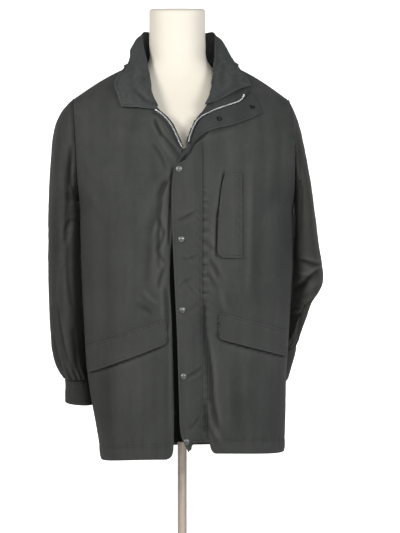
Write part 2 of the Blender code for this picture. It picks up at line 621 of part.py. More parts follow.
# The collar from the wearer's right front end round the neck to the left one.
COLLAR = [
    CollarStation((-0.0500, -0.107, 1.3330), (-0.0535, -0.121, 1.3240), (-0.1280, -0.088, 1.3240)),
    CollarStation((-0.0625, -0.089, 1.3600), (-0.0620, -0.105, 1.3500), (-0.1360, -0.072, 1.3490)),
    CollarStation((-0.0760, -0.046, 1.4080), (-0.0690, -0.068, 1.3960), (-0.1460, -0.040, 1.3830)),
    CollarStation((-0.0860, -0.008, 1.4400), (-0.0810, -0.028, 1.4520), (-0.1310, -0.003, 1.4240)),
    CollarStation((-0.0880, 0.018, 1.4410), (-0.0880, 0.010, 1.4900), (-0.1200, 0.020, 1.4560)),
    CollarStation((-0.0780, 0.038, 1.4410), (-0.0860, 0.038, 1.5140), (-0.1140, 0.048, 1.4840)),
    CollarStation((-0.0500, 0.061, 1.4430), (-0.0540, 0.078, 1.5140), (-0.0680, 0.098, 1.4900)),
    CollarStation((-0.0050, 0.071, 1.4430), (-0.0050, 0.090, 1.5120), (-0.0050, 0.112, 1.4900)),
    CollarStation((0.0400, 0.062, 1.4430), (0.0400, 0.078, 1.5140), (0.0540, 0.098, 1.4900)),
    CollarStation((0.0740, 0.039, 1.4410), (0.0690, 0.040, 1.5140), (0.0960, 0.048, 1.4880)),
    CollarStation((0.0850, 0.018, 1.4410), (0.0740, 0.010, 1.4900), (0.1110, 0.018, 1.4600)),
    CollarStation((0.0855, -0.008, 1.4400), (0.0720, -0.026, 1.4480), (0.1290, -0.004, 1.4260)),
    CollarStation((0.0755, -0.046, 1.4080), (0.0670, -0.068, 1.3960), (0.1440, -0.034, 1.3980)),
    CollarStation((0.0610, -0.088, 1.3600), (0.0605, -0.105, 1.3540), (0.1500, -0.046, 1.3830)),
    CollarStation((0.0500, -0.107, 1.3350), (0.0540, -0.121, 1.3336), (0.1500, -0.048, 1.3790)),
]
COLLAR_ROLL = 0.010
COLLAR_CROWN = np.array([0.0, -0.002, 0.004])  # how the roll swells, but for its two ends
COLLAR_CROWN_POWER = 0.5
COLLAR_ROWS = 31
COLLAR_COLS = 11


class Panel:
    """A front panel's outer surface, read at any (x, z) on it or just past its front edge."""

    def __init__(self, table, side, folds):
        self.sign = 1.0 if table[0].x_out > 0 else -1.0
        self.grid = front_grid(table, side, folds, ROWS_READ, COLS_READ)
        self.normals = panel_normals(self.grid, side, (-1,), -1)

    def between(self, grid, r, c):
        r0 = min(int(r), grid.shape[0] - 2)
        c0 = min(int(c), grid.shape[1] - 2)
        u, v = r - r0, c - c0
        low = grid[r0, c0] * (1 - v) + grid[r0, c0 + 1] * v
        high = grid[r0 + 1, c0] * (1 - v) + grid[r0 + 1, c0 + 1] * v
        return low * (1 - u) + high * u

    def at(self, x, z, lift):
        """The point of the panel at (x, z), moved out by lift."""
        rows, cols = self.grid.shape[:2]
        r, c = rows / 2, cols / 2
        for _ in range(SEARCH_STEPS):
            c0 = min(int(c), cols - 2)
            tall = self.grid[:, c0, 2] * (1 - c + c0) + self.grid[:, c0 + 1, 2] * (c - c0)
            r = np.interp(z, tall, np.arange(rows))
            r0 = min(int(r), rows - 2)
            wide = self.grid[r0, :, 0] * (1 - r + r0) + self.grid[r0 + 1, :, 0] * (r - r0)
            c = np.interp(x * self.sign, wide * self.sign, np.arange(cols))
        point = self.between(self.grid, r, c)
        normal = unit(self.between(self.normals, r, c))
        past = np.array([x - point[0], 0.0, z - point[2]]) if c <= 0 else np.zeros(3)
        return point + past + normal * lift

    def cover(self, plan, lift):
        """A grid of (x, z) places laid on the panel."""
        return np.array([[self.at(x, z, lift) for x, z in row] for row in plan])


def strip_plan(table, rows, cols):
    """(x, z) places between the two edges of a table of strips."""
    numbers = smooth(np.arange(len(table)), np.array(table, float), np.linspace(0, len(table) - 1, rows))
    across = np.linspace(0, 1, cols)[None, :, None]
    return numbers[:, None, :2] * (1 - across) + numbers[:, None, 2:] * across


def facing_normals(grid):
    """Normals of a piece that faces the front."""
    normals = grid_normals(grid)
    return normals if normals[..., 1].sum() < 0 else -normals


def lay(name, panel, plan, lift, thickness, finish):
    """A flat piece that lies on a panel."""
    grid = panel.cover(plan, lift + thickness)
    return wall(name, grid, facing_normals(grid), thickness, finish)


def front_edge(panel, heights):
    """x of a panel's front edge at each height."""
    return np.interp(heights, panel.grid[:, 0, 2], panel.grid[:, 0, 0])


def build_tapes(panels, finish):
    """The zip's two halves between the front edges; the wearer's right one goes on as an underlap."""
    heights = np.linspace(TAPE_BOTTOM, TAPE_TOP, TAPE_ROWS)
    start, end = front_edge(panels["right"], heights), front_edge(panels["left"], heights)
    room = end - start - 2 * TAPE_GAP
    left = np.minimum(TAPE_WIDTH, room * TAPE_SHARE)
    right = np.minimum(UNDERLAP_WIDTH, room - left - TAPE_APART)
    across = np.array([0.0, 0.5, 1.0])
    for side, edge, width in (("right", start + TAPE_GAP, right), ("left", end - TAPE_GAP, -left)):
        x = edge[:, None] + width[:, None] * across
        grid = panels[side].cover(np.stack([x, heights[:, None] + 0 * x], axis=-1), 0.0)
        wall("zip_tape_" + side, grid, facing_normals(grid), TAPE, finish)


# ---------------------------------------------------------------- collar


def pushed_clear(points, surfaces, lift):
    """Points moved out until each is at least lift in front of the nearest point of the surfaces."""
    spots = np.concatenate([grid.reshape(-1, 3) for grid, _ in surfaces])
    normals = np.concatenate([away.reshape(-1, 3) for _, away in surfaces])
    moved = points.copy()
    for index in np.ndindex(points.shape[:2]):
        for _ in range(3):
            near = np.argmin(np.linalg.norm(spots - moved[index], axis=1))
            short = lift - np.dot(moved[index] - spots[near], normals[near])
            if short > 0:
                moved[index] += normals[near] * short
    return moved


def collar_grid(surfaces):
    """Sections of stand, roll and fall, smoothed into one band; the fall is kept clear of the fronts."""
    net_rows = []
    crowns = np.sin(np.linspace(0, math.pi, len(COLLAR))) ** COLLAR_CROWN_POWER
    for (base, roll, edge), share in zip(COLLAR, crowns):
        base, roll, edge = np.array(base), np.array(roll), np.array(edge)
        up = unit(roll - base)
        out = unit(edge - roll)
        before = roll - up * COLLAR_ROLL
        after = roll + out * COLLAR_ROLL
        crown = COLLAR_CROWN * share
        net_rows.append([base, before, roll + crown, after + crown, (after + edge) / 2 + crown * 1.5, edge])
    grid = net(net_rows, COLLAR_ROWS, COLLAR_COLS)
    middle = COLLAR_COLS // 2
    fall = pushed_clear(grid[:, middle:], surfaces, COLLAR_LIFT)
    blend = np.linspace(0, 1, fall.shape[1])[None, :, None] ** 0.3
    grid[:, middle:] = grid[:, middle:] * (1 - blend) + fall * blend
    return grid


def build_collar(surfaces, finish):
    """The stand collar, rolled over and turned outward."""
    grid = collar_grid(surfaces)
    normals = grid_normals(grid)
    if normals[COLLAR_ROWS // 2, 2, 1] > 0:
        normals = -normals
    return wall("collar", grid, normals, TRIM, finish)


# ---------------------------------------------------------------- snaps and stand


def build_snap(name, centre, normal, profile, finish):
    """A turned metal disc on the cloth."""
    return stack(name, disc_rings(centre, normal, profile, SNAP_AROUND), finish)


FORM = [
    Level(FORM_BOTTOM, -0.004, 0.148, -0.012, 0.098, 2.2),
    Level(0.690, -0.004, 0.160, -0.012, 0.106, 2.2),
    Level(0.780, -0.002, 0.163, -0.010, 0.108, 2.2),
    Level(0.900, 0.000, 0.152, -0.008, 0.100, 2.2),
    Level(1.000, 0.000, 0.146, -0.008, 0.096, 2.2),
    Level(1.120, 0.000, 0.158, -0.012, 0.104, 2.2),
    Level(1.220, -0.002, 0.172, -0.010, 0.108, 2.2),
    Level(1.300, -0.003, 0.182, -0.004, 0.096, 2.1),
    Level(1.345, -0.004, 0.176, 0.006, 0.080, 2.0),
    Level(1.380, -0.005, 0.142, 0.010, 0.068, 2.0),
    Level(1.410, -0.007, 0.100, 0.012, 0.060, 2.0),
    Level(1.440, -0.009, 0.070, 0.012, 0.057, 2.0),
    Level(1.490, -0.011, 0.0635, 0.012, 0.056, 2.0),
    Level(1.530, -0.011, 0.0632, 0.012, 0.056, 2.0),
]
FORM_AROUND = 24
CAP_SLOPE = 0.22
CAP_RISE = 0.030


def build_form(finish):
    """Torso and neck of the dress form, with the neck cut off on a slope that faces forward."""
    numbers = np.array(FORM, float)
    heights = [FORM_BOTTOM, 0.675, *np.linspace(0.69, 1.26, 8), *np.linspace(1.30, 1.44, 7), 1.475, 1.53]
    turns = np.linspace(0, 2 * math.pi, FORM_AROUND, endpoint=False)
    rings = []
    for z, x, wide, y, deep, square in smooth(numbers[:, 0], numbers, heights):
        power = 2 / square
        ring_x = x + wide * np.sign(np.cos(turns)) * np.abs(np.cos(turns)) ** power
        ring_y = y + deep * np.sign(np.sin(turns)) * np.abs(np.sin(turns)) ** power
        rings.append(np.stack([ring_x, ring_y, np.full_like(turns, z)], axis=1))
    rim = rings[-1]
    middle = rim.mean(axis=0)
    for inset, rise in ((1.0, CAP_RISE), (0.97, CAP_RISE + 0.003), (0.90, CAP_RISE + 0.005)):
        ring = rim.copy()
        ring[:, :2] = middle[:2] + (rim[:, :2] - middle[:2]) * inset
        ring[:, 2] = middle[2] + rise + CAP_SLOPE * (ring[:, 1] - middle[1])
        rings.append(ring)
    return stack("form", rings, finish)


COLLAR_RADIUS = POLE_RADIUS + 0.006  # the ring at the pole's foot
SOCKET_RADIUS = 0.022
SOCKET_HEIGHT = 0.021


def build_stand(steel, dark):
    """The disc base, the pole in it and the socket under the form."""
    edge = BASE_RADIUS - 0.002
    base = [(0.060, 0.0), (edge, 0.0), (BASE_RADIUS, 0.003), (edge, BASE_THICKNESS - 0.001)]
    base += [(0.120, BASE_THICKNESS), (0.022, BASE_THICKNESS + 0.002)]
    stack("base", disc_rings((0, 0, 0), (0, 0, 1), base, 32), steel)
    foot = BASE_THICKNESS + 0.002 + SEAM_GAP
    top = FORM_BOTTOM - SEAM_GAP
    low = top - SOCKET_HEIGHT
    pole = [(POLE_RADIUS * 0.6, foot), (COLLAR_RADIUS, foot), (COLLAR_RADIUS, foot + 0.02)]
    pole += [(POLE_RADIUS, foot + 0.026), (POLE_RADIUS, 0.30), (POLE_RADIUS, 0.56)]
    pole += [(POLE_RADIUS, low - 0.0006)]
    stack("pole", disc_rings((0, 0, 0), (0, 0, 1), pole, 16), steel)
    socket = [(0.008, low), (SOCKET_RADIUS - 0.002, low), (SOCKET_RADIUS, low + 0.003), (SOCKET_RADIUS, top)]
    stack("pole_socket", disc_rings((0, 0, 0), (0, 0, 1), socket + [(0.010, top)], 16), dark)


# ---------------------------------------------------------------- assembly


FINISHES = {  # linear colour, roughness, metallic
    "coat_cloth": ((0.030, 0.034, 0.030), 0.78, 0.0),
    "coat_facing": ((0.018, 0.021, 0.020), 0.80, 0.0),
    "zip_tape": ((0.010, 0.011, 0.011), 0.85, 0.0),
    "snap_metal": ((0.16, 0.16, 0.15), 0.38, 1.0),
    "form_shell": ((0.86, 0.80, 0.68), 0.55, 0.0),
    "stand_steel": ((0.62, 0.58, 0.52), 0.30, 1.0),
    "stand_socket": ((0.10, 0.10, 0.10), 0.50, 0.6),
}
# Pieces of two edges on a front: name, table, the front, lift, finish, rows and columns.
LAID = [
    ("facing_right", FACING_RIGHT, "right", TURNED_LIFT, "coat_facing", 13, 3),
    ("facing_left", FACING_LEFT, "left", TURNED_LIFT, "coat_facing", 15, 4),
    ("storm_flap_turned", STORM_FLAP_TURNED, "left", TURNED_LIFT, "coat_facing", 21, 5),
    ("chest_flap", CHEST_FLAP, "left", LIFT, "coat_cloth", 13, 5),
    ("pocket_flap_left", POCKET_FLAP_LEFT, "left", LIFT, "coat_cloth", 13, 5),
    ("pocket_flap_right", POCKET_FLAP_RIGHT, "right", LIFT, "coat_cloth", 14, 5),
]
FLAP_ROWS = 33
FLAP_COLS = 6


def flap_plan():
    """(x, z) places of the storm flap, from the hem up."""
    flap = np.array(STORM_FLAP, float)
    keys = np.arange(len(flap))
    tall = smooth(keys, flap.reshape(len(flap), -1), np.linspace(0, keys[-1], FLAP_ROWS))
    across = tall.reshape(FLAP_ROWS, 3, 2).transpose(1, 0, 2).reshape(3, -1)
    wide = smooth([0, 1, 2], across, np.linspace(0, 2, FLAP_COLS))
    return wide.reshape(FLAP_COLS, FLAP_ROWS, 2).transpose(1, 0, 2)


def build_body(cloth):
    """The two fronts, the back, the sleeves and the cuffs."""
    right = front_grid(FRONT_RIGHT, ARMHOLE_RIGHT, FOLDS_RIGHT)
    left = front_grid(FRONT_LEFT, ARMHOLE_LEFT, FOLDS_LEFT)
    back = back_grid()
    wall("front_right", right, panel_normals(right, ARMHOLE_RIGHT, (-1,), -1), CLOTH, cloth)
    wall("front_left", left, panel_normals(left, ARMHOLE_LEFT, (-1,), -1), CLOTH, cloth)
    wall("back", back, panel_normals(back, ARMHOLE_LEFT, (-1, 0), 1), CLOTH, cloth)
    build_arm("right", SLEEVE_RIGHT, CUFF_RIGHT, ARMHOLE_RIGHT, -1, cloth)
    build_arm("left", SLEEVE_LEFT, CUFF_LEFT, ARMHOLE_LEFT, 1, cloth)


def build_snaps(panel, metal):
    """The caps on the storm flap and the sockets on its turned-out end."""
    for number, (x, z) in enumerate(SNAP_HEIGHTS, 1):
        centre = panel.at(x, z, FLAP_LIFT + TRIM + SNAP_GAP)
        build_snap(f"snap_{number}", centre, (0, -1, 0), SNAP_CAP, metal)
    for number, (x, z) in enumerate(SNAP_SOCKETS, 1):
        centre = panel.at(x, z, TURNED_LIFT + TRIM + SNAP_GAP)
        normal = panel.at(x, z, 1.0) - panel.at(x, z, 0.0)
        build_snap(f"snap_socket_{number}", centre, normal, SNAP_SOCKET, metal)


def main():
    """Clears the scene and builds every piece."""
    for item in list(bpy.data.objects):
        bpy.data.objects.remove(item, do_unlink=True)
    finishes = {name: material(name, *look) for name, look in FINISHES.items()}
    build_body(finishes["coat_cloth"])

    panels = {
        "right": Panel(FRONT_RIGHT, ARMHOLE_RIGHT, FOLDS_RIGHT),
        "left": Panel(FRONT_LEFT, ARMHOLE_LEFT, FOLDS_LEFT),
    }
    fine_back = back_grid(ROWS_BACK_READ, COLS_BACK_READ)
    surfaces = [(panel.grid, panel.normals) for panel in panels.values()]
    surfaces.append((fine_back, panel_normals(fine_back, ARMHOLE_LEFT, (-1, 0), 1)))
    build_collar(surfaces, finishes["coat_cloth"])
    for name, table, front, lift, look, rows, cols in LAID:
        lay(name, panels[front], strip_plan(table, rows, cols), lift, TRIM, finishes[look])
    lay("storm_flap", panels["left"], flap_plan(), FLAP_LIFT, TRIM, finishes["coat_cloth"])
    build_tapes(panels, finishes["zip_tape"])
    build_snaps(panels["left"], finishes["snap_metal"])
    build_form(finishes["form_shell"])
    build_stand(finishes["stand_steel"], finishes["stand_socket"])


main()
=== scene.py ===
"""Looks of a dark three-quarter-length coat, worn open at the neck on a limbless dress form with a stand.

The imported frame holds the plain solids. This script dresses them: each cloth panel becomes a fine thin shell
on the same form, with its creases, stitching, zip teeth and procedural finishes. Metres, +Z up, the coat
faces -Y.
"""

from __future__ import annotations

import json
import logging
import math
from dataclasses import astuple, dataclass, field
from enum import Enum
from typing import Any, Sequence

import bpy
import numpy as np
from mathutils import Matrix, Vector

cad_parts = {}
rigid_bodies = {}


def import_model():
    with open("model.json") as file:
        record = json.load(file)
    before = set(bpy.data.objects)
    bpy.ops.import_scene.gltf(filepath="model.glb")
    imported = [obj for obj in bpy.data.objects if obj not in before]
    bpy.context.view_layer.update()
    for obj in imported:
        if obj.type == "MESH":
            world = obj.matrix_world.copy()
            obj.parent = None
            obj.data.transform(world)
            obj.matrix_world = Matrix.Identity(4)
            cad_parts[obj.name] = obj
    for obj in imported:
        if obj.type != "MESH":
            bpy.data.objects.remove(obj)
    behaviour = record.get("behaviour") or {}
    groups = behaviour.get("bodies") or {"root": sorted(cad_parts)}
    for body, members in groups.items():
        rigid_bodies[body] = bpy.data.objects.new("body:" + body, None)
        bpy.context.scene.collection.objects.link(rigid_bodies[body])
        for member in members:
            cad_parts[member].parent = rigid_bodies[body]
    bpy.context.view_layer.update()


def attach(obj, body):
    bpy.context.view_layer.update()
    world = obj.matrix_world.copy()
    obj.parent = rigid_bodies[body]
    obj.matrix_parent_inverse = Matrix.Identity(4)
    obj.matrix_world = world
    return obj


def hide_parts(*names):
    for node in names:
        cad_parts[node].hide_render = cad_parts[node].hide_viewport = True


log = logging.getLogger("coat")
Array = np.ndarray


# ------------------------------------------------------------------ named options and sizes


class Side(Enum):
    """The wearer's side; the value is the sign of its x."""

    RIGHT = -1
    LEFT = 1

    @property
    def label(self) -> str:
        """The side's name in lower case."""
        return self.name.lower()


class Hold(Enum):
    HUNG = "hung"
    FOLDED = "folded"


class Axis(Enum):
    """The three axes, by index."""

    X = 0
    Y = 1
    Z = 2


# Walls, gaps and lifts, and where the seams lie, as in the CAD part.
CLOTH = 0.0022
TRIM = 0.0018
TAPE = 0.0010
SEAM_GAP = 0.0004
LIFT = 0.0013
FLAP_LIFT = 0.0030
TURNED_LIFT = 0.0032
COLLAR_LIFT = 0.0075
SIDE_SEAM_Y = 0.005
UNDERARM_Y = 0.0075
ARMHOLE_HALF_DEPTH = 0.081
ARMHOLE_GAP = 0.0010
NECK_POINT_X = 0.096
NECK_POINT_Z = 1.445
SHOULDER_CROWN = 0.007
BACK_NECK_Y = 0.078
HEM_STITCH = 0.030  # the hem's stitch line above its edge
STITCH_LIFT = 0.0001
STORM_SEAM_X = 0.050
STORM_SEAM_TOP = 1.16
TOOTH_LIFT = 0.0006
TAPE_SINK = -0.0006
# Where the zip tape's painted shade ends, and over what height it fades out.
TAPE_PALE_FROM = 1.175
TAPE_PALE_REACH = 0.015
LOW_TEETH_TOP = 1.165
ROLLED_EDGE = 0.28  # how much of a wall its cut edge loses
CAVITY_DEPTH = 0.0016


# ------------------------------------------------------------------ curves, grids and noise


def unit(vectors: Array) -> Array:
    """The vectors at length one."""
    return vectors / np.maximum(np.linalg.norm(vectors, axis=-1, keepdims=True), 1e-12)


def limited(value: float) -> float:
    """The value kept from 0 to 1."""
    return min(max(value, 0.0), 1.0)


def bell(distance: Array, width: float, place: float = 0.0) -> Array:
    """A smooth bump of height 1 at a place, which falls to 0 either side."""
    return np.exp(-(((distance - place) / width) ** 2))


def as_numbers(table: Sequence[Any]) -> Array:
    """A table of dataclass rows as plain numbers."""
    return np.array([astuple(row) for row in table])


def smooth(keys: Sequence[float], values: Any, at: Any) -> Array:
    """A cubic curve through values at rising keys.

    Args:
        keys: rising places.
        values: one number or row of numbers for each key.
        at: the places to read.

    Returns:
        The curve's value at each place.
    """
    keys = np.asarray(keys, float)
    values = np.asarray(values, float)
    at = np.clip(np.asarray(at, float), keys[0], keys[-1])
    slopes = np.gradient(values, keys, axis=0)
    index = np.clip(np.searchsorted(keys, at, side="right") - 1, 0, len(keys) - 2)
    span = keys[index + 1] - keys[index]
    u = (at - keys[index]) / span
    if values.ndim > 1:
        u, span = u[:, None], span[:, None]
    start = (2 * u**3 - 3 * u**2 + 1) * values[index] + (u**3 - 2 * u**2 + u) * span * slopes[index]
    end = (3 * u**2 - 2 * u**3) * values[index + 1] + (u**3 - u**2) * span * slopes[index + 1]
    return start + end


def net(points: Any, rows: int, cols: int) -> Array:
    """A rows x cols grid through a small net of given points of any dimension."""
    points = np.array(points, float)
    tall_count, wide_count, size = points.shape
    tall = smooth(np.arange(tall_count), points.reshape(tall_count, -1),
                  np.linspace(0, tall_count - 1, rows))
    tall = tall.reshape(rows, wide_count, size).transpose(1, 0, 2).reshape(wide_count, -1)
    wide = smooth(np.arange(wide_count), tall, np.linspace(0, wide_count - 1, cols))
    return wide.reshape(cols, rows, size).transpose(1, 0, 2)


def grid_normals(grid: Array, closed: bool = False) -> Array:
    """Unit normals of a grid; closed joins its last column to its first."""
    if closed:
        along = np.roll(grid, -1, axis=1) - np.roll(grid, 1, axis=1)
    else:
        along = np.gradient(grid, axis=1)
    return unit(np.cross(along, np.gradient(grid, axis=0)))


def facing_normals(grid: Array) -> Array:
    """Unit normals of an open grid, turned to the front."""
    normals = grid_normals(grid)
    return normals if normals[..., Axis.Y.value].sum() < 0 else -normals


def flatten(normals: Array, where: tuple, axis: Axis) -> None:
    """Turns the normals at a seam into its plane, so that the walls either side don't cross."""
    normals[where + (axis.value,)] = 0.0
    normals[where] = unit(normals[where])


def quarter(start: float, end: float, fraction: Array, roundness: float, sine: bool) -> Array:
    """From start to end along one quarter of a superellipse; sine picks the coordinate that leaves first."""
    turn = fraction * math.pi / 2
    share = np.sin(turn) ** (2 / roundness) if sine else 1 - np.cos(turn) ** (2 / roundness)
    return start + (end - start) * share


class Lumps:
    """Smooth repeatable noise in space, from -1 to 1."""

    def __init__(self, seed: int) -> None:
        """Fills the lattice from a seed."""
        self.lattice = np.random.default_rng(seed).uniform(-1, 1, (32, 32, 32))

    def __call__(self, points: Array, wavelength: float, stretch: Sequence[float] = (1, 1, 1)) -> Array:
        """The noise at each point.

        Args:
            points: an array whose last axis is x, y, z.
            wavelength: the size of a lump in metres.
            stretch: how much longer the lumps are along each axis.

        Returns:
            A number for each point.
        """
        place = points / (wavelength * np.asarray(stretch, float)) + 100.0
        low = np.floor(place).astype(int)
        part = place - low
        part = part * part * (3 - 2 * part)
        total = np.zeros(points.shape[:-1])
        for corner in np.ndindex(2, 2, 2):
            index = tuple(((low + corner) % 32)[..., axis] for axis in range(3))
            weight = np.prod(np.where(np.array(corner) == 1, part, 1 - part), axis=-1)
            total += self.lattice[index] * weight
        return total


@dataclass(frozen=True)
class Crease:
    """A soft trough (depth above 0) or ridge (below 0) between two places on a flat plan of the cloth.

    bow bends its line sideways, and sharp makes one flank steeper than the other.
    """

    x0: float
    z0: float
    x1: float
    z1: float
    width: float
    depth: float
    bow: float = 0.0
    sharp: float = 0.0

    def press(self, x: Array, z: Array) -> Array:
        """How far in the crease moves each place."""
        dx, dz = self.x1 - self.x0, self.z1 - self.z0
        length = math.hypot(dx, dz)
        along = ((x - self.x0) * dx + (z - self.z0) * dz) / length**2
        side = ((x - self.x0) * dz - (z - self.z0) * dx) / length
        side = side - self.bow * 4 * np.clip(along, 0, 1) * (1 - np.clip(along, 0, 1))
        over = np.maximum(np.maximum(-along, along - 1), 0) * length
        width = self.width * np.where(side > 0, 1 + self.sharp, 1 - self.sharp)
        swell = np.clip(np.sin(np.pi * np.clip(along, 0, 1)), 0, 1) ** 0.6
        return self.depth * (0.25 + 0.75 * swell) * np.exp(-((side / width) ** 2) - (over / self.width) ** 2)


# ------------------------------------------------------------------ meshes


def piece(name: str, points: Array, faces: Any, uv: Array | None = None,
          wear: Array | None = None) -> bpy.types.Object:
    """A smooth mesh object.

    Args:
        name: the object's name.
        points: its vertices.
        faces: its faces, as an array of quads or a list of index tuples.
        uv: places on the flat cloth in metres, one for each vertex.
        wear: how pale from rubbing each vertex is, up to 1, or how dark with painted shade in creases and
            troughs, down to -1.

    Returns:
        The new object, in the scene.
    """
    mesh = bpy.data.meshes.new(name)
    alike = len(set(map(len, faces))) == 1
    mesh.from_pydata(np.asarray(points).tolist(), [], np.asarray(faces).tolist() if alike else faces)
    mesh.shade_smooth()
    if uv is not None:
        corner = np.empty(len(mesh.loops), np.int32)
        mesh.loops.foreach_get("vertex_index", corner)
        mesh.uv_layers.new(name="cloth").data.foreach_set("uv", uv[corner].astype(np.float32).ravel())
    if wear is not None:
        tone_marks = mesh.attributes.new("wear", "FLOAT", "POINT")
        tone_marks.data.foreach_set("value", wear.astype(np.float32).ravel())
    made = bpy.data.objects.new(name, mesh)
    bpy.context.scene.collection.objects.link(made)
    return made


def arc_lengths(grid: Array) -> Array:
    """Each grid point's place on the flat cloth: across and up, in metres."""
    across = np.zeros(grid.shape[:2])
    across[:, 1:] = np.cumsum(np.linalg.norm(np.diff(grid, axis=1), axis=2), axis=1)
    up = np.zeros(grid.shape[:2])
    up[1:] = np.cumsum(np.linalg.norm(np.diff(grid, axis=0), axis=2), axis=0)
    return np.stack([across, up], axis=-1)


def shell(name: str, outer: Array, normals: Array, thickness: Any, closed: bool = False,
          wear: Array | None = None, round_edge: bool = True) -> bpy.types.Object:
    """A thin closed cloth wall: the outer grid and the same grid moved inwards.

    Args:
        name: the object's name.
        outer: rows x columns of outer points.
        normals: the outward normal at each point.
        thickness: the wall, one number or one for each point.
        closed: whether the last column joins the first.
        wear: how pale from rubbing each outer point is, or how dark with painted shade in its troughs.
        round_edge: whether the cloth's cut edges are thinned, so that they look rolled.

    Returns:
        The new object.
    """
    rows, cols = outer.shape[:2]
    thick = np.broadcast_to(np.asarray(thickness, float), (rows, cols))[..., None]
    inner = outer - normals * thick
    edged = outer.copy()
    if round_edge:
        edge = np.zeros((rows, cols, 1))
        edge[0], edge[-1] = 1, 1
        if not closed:
            edge[:, 0], edge[:, -1] = 1, 1
        edged = outer - normals * thick * edge * ROLLED_EDGE
        inner = inner + normals * thick * edge * ROLLED_EDGE
    points = np.concatenate([edged.reshape(-1, 3), inner.reshape(-1, 3)])
    half = rows * cols
    index = np.arange(half).reshape(rows, cols)
    a = index[:-1] if closed else index[:-1, :-1]
    d = index[1:] if closed else index[1:, :-1]
    b = np.roll(index, -1, axis=1)[:-1] if closed else index[:-1, 1:]
    e = np.roll(index, -1, axis=1)[1:] if closed else index[1:, 1:]
    quads = [np.stack([a, b, e, d], -1).reshape(-1, 4), half + np.stack([a, d, e, b], -1).reshape(-1, 4)]
    for row, flip in ((0, False), (-1, True)):
        line = index[row]
        start, end = (line, np.roll(line, -1)) if closed else (line[:-1], line[1:])
        rim = np.stack([start, half + start, half + end, end], -1)
        quads.append(rim[:, ::-1] if flip else rim)
    if not closed:
        for col, flip in ((0, True), (-1, False)):
            start, end = index[:-1, col], index[1:, col]
            rim = np.stack([start, half + start, half + end, end], -1)
            quads.append(rim[:, ::-1] if flip else rim)
    faces = np.concatenate(quads)
    corners = points[faces]
    volume = np.einsum("ij,ij->i", corners[:, 0], np.cross(corners[:, 1], corners[:, 2])).sum()
    volume += np.einsum("ij,ij->i", corners[:, 0], np.cross(corners[:, 2], corners[:, 3])).sum()
    if volume < 0:
        faces = faces[:, ::-1]
    uv = np.tile(arc_lengths(outer).reshape(-1, 2), (2, 1))
    tone_marks = np.zeros(rows * cols) if wear is None else wear.ravel()
    return piece(name, points, faces, uv, np.concatenate([tone_marks, tone_marks * 0]))


def stacked(rings: Any) -> tuple[Array, list]:
    """Points and faces of a closed solid through rings of points, with flat ends."""
    rings = np.array(rings, float)
    count, around = rings.shape[:2]
    faces = [tuple(range(around))[::-1], tuple(range((count - 1) * around, count * around))]
    for r in range(count - 1):
        for c in range(around):
            a, b = r * around + c, r * around + (c + 1) % around
            faces.append((a, b, b + around, a + around))
    return rings.reshape(-1, 3), faces


def turned(centre: Any, axis: Any, profile: Sequence[tuple[float, float]], around: int) -> Array:
    """Rings about an axis: profile holds (radius, height along the axis)."""
    axis = unit(np.array(axis, float))
    side = unit(np.cross(axis, [0.0, 0.3, 1.0]))
    other = np.cross(axis, side)
    turns = np.linspace(0, 2 * math.pi, around, endpoint=False)
    circle = np.cos(turns)[:, None] * side + np.sin(turns)[:, None] * other
    return np.array([np.array(centre) + axis * height + circle * radius for radius, height in profile])


def joined(parts: Sequence[tuple[Array, Any]]) -> tuple[Array, list]:
    """Many point and face lists as one."""
    points, faces, count = [], [], 0
    for spots, polygons in parts:
        points.append(spots)
        faces += [tuple(int(i) + count for i in polygon) for polygon in polygons]
        count += len(spots)
    return np.concatenate(points), faces


BOX_FACES = [(0, 3, 2, 1), (4, 5, 6, 7), (0, 1, 5, 4), (1, 2, 6, 5), (2, 3, 7, 6), (3, 0, 4, 7)]


def small_block(centre: Array, along: Array, out: Array, length: float, width: float,
                height: float) -> tuple[Array, list]:
    """A little block with a narrower top, such as a stitch or a zip tooth."""
    along = unit(along)
    out = unit(out - along * np.dot(out, along))
    side = np.cross(out, along)
    points = []
    for rise, share in ((-0.5, 1.0), (1.0, 0.6)):
        for u, v in ((-1, -1), (1, -1), (1, 1), (-1, 1)):
            points.append(centre + along * u * length / 2 * share + side * v * width / 2 * share
                          + out * height * rise)
    return np.array(points), BOX_FACES


def walk(path: Array, step: float) -> tuple[Array, Array]:
    """Evenly spaced places along a path of points, and the direction at each."""
    lengths = np.concatenate([[0], np.cumsum(np.linalg.norm(np.diff(path, axis=0), axis=1))])
    count = max(int(lengths[-1] / step), 1)
    at = (np.arange(count) + 0.5) * lengths[-1] / count
    spots = np.stack([np.interp(at, lengths, path[:, axis]) for axis in range(path.shape[1])], axis=1)
    later = at + step / 2
    ahead = np.stack([np.interp(later, lengths, path[:, axis]) for axis in range(path.shape[1])], axis=1)
    return spots, unit(ahead - spots + 1e-9)


# ------------------------------------------------------------------ the garment's tables


@dataclass(frozen=True)
class Row:
    """One level of a front panel: its front edge, its side seam and the roundness between them."""

    z_in: float
    z_out: float
    x_in: float
    y_in: float
    x_out: float
    y_out: float
    roundness: float


@dataclass(frozen=True)
class BackRow:
    """One level of the back: its middle, its two edges and the roundness between them."""

    z_mid: float
    z_right: float
    z_left: float
    x_right: float
    x_left: float
    y_mid: float
    roundness: float


@dataclass(frozen=True)
class Ring:
    """One section of a sleeve: the two ends of its width, its place in depth, half depth and squareness."""

    x_out: float
    z_out: float
    x_in: float
    z_in: float
    y: float
    depth: float
    squareness: float

    def middle(self) -> Array:
        """The middle of the section."""
        return np.array([(self.x_out + self.x_in) / 2, self.y, (self.z_out + self.z_in) / 2])


@dataclass(frozen=True)
class Strip:
    """One rung of a flat piece that lies on a panel: (x, z) on its first edge and on its second."""

    x0: float
    z0: float
    x1: float
    z1: float


@dataclass(frozen=True)
class Station:
    """One section of the collar: where it is sewn on, where it rolls over and where its edge lies."""

    base: tuple[float, float, float]
    roll: tuple[float, float, float]
    edge: tuple[float, float, float]


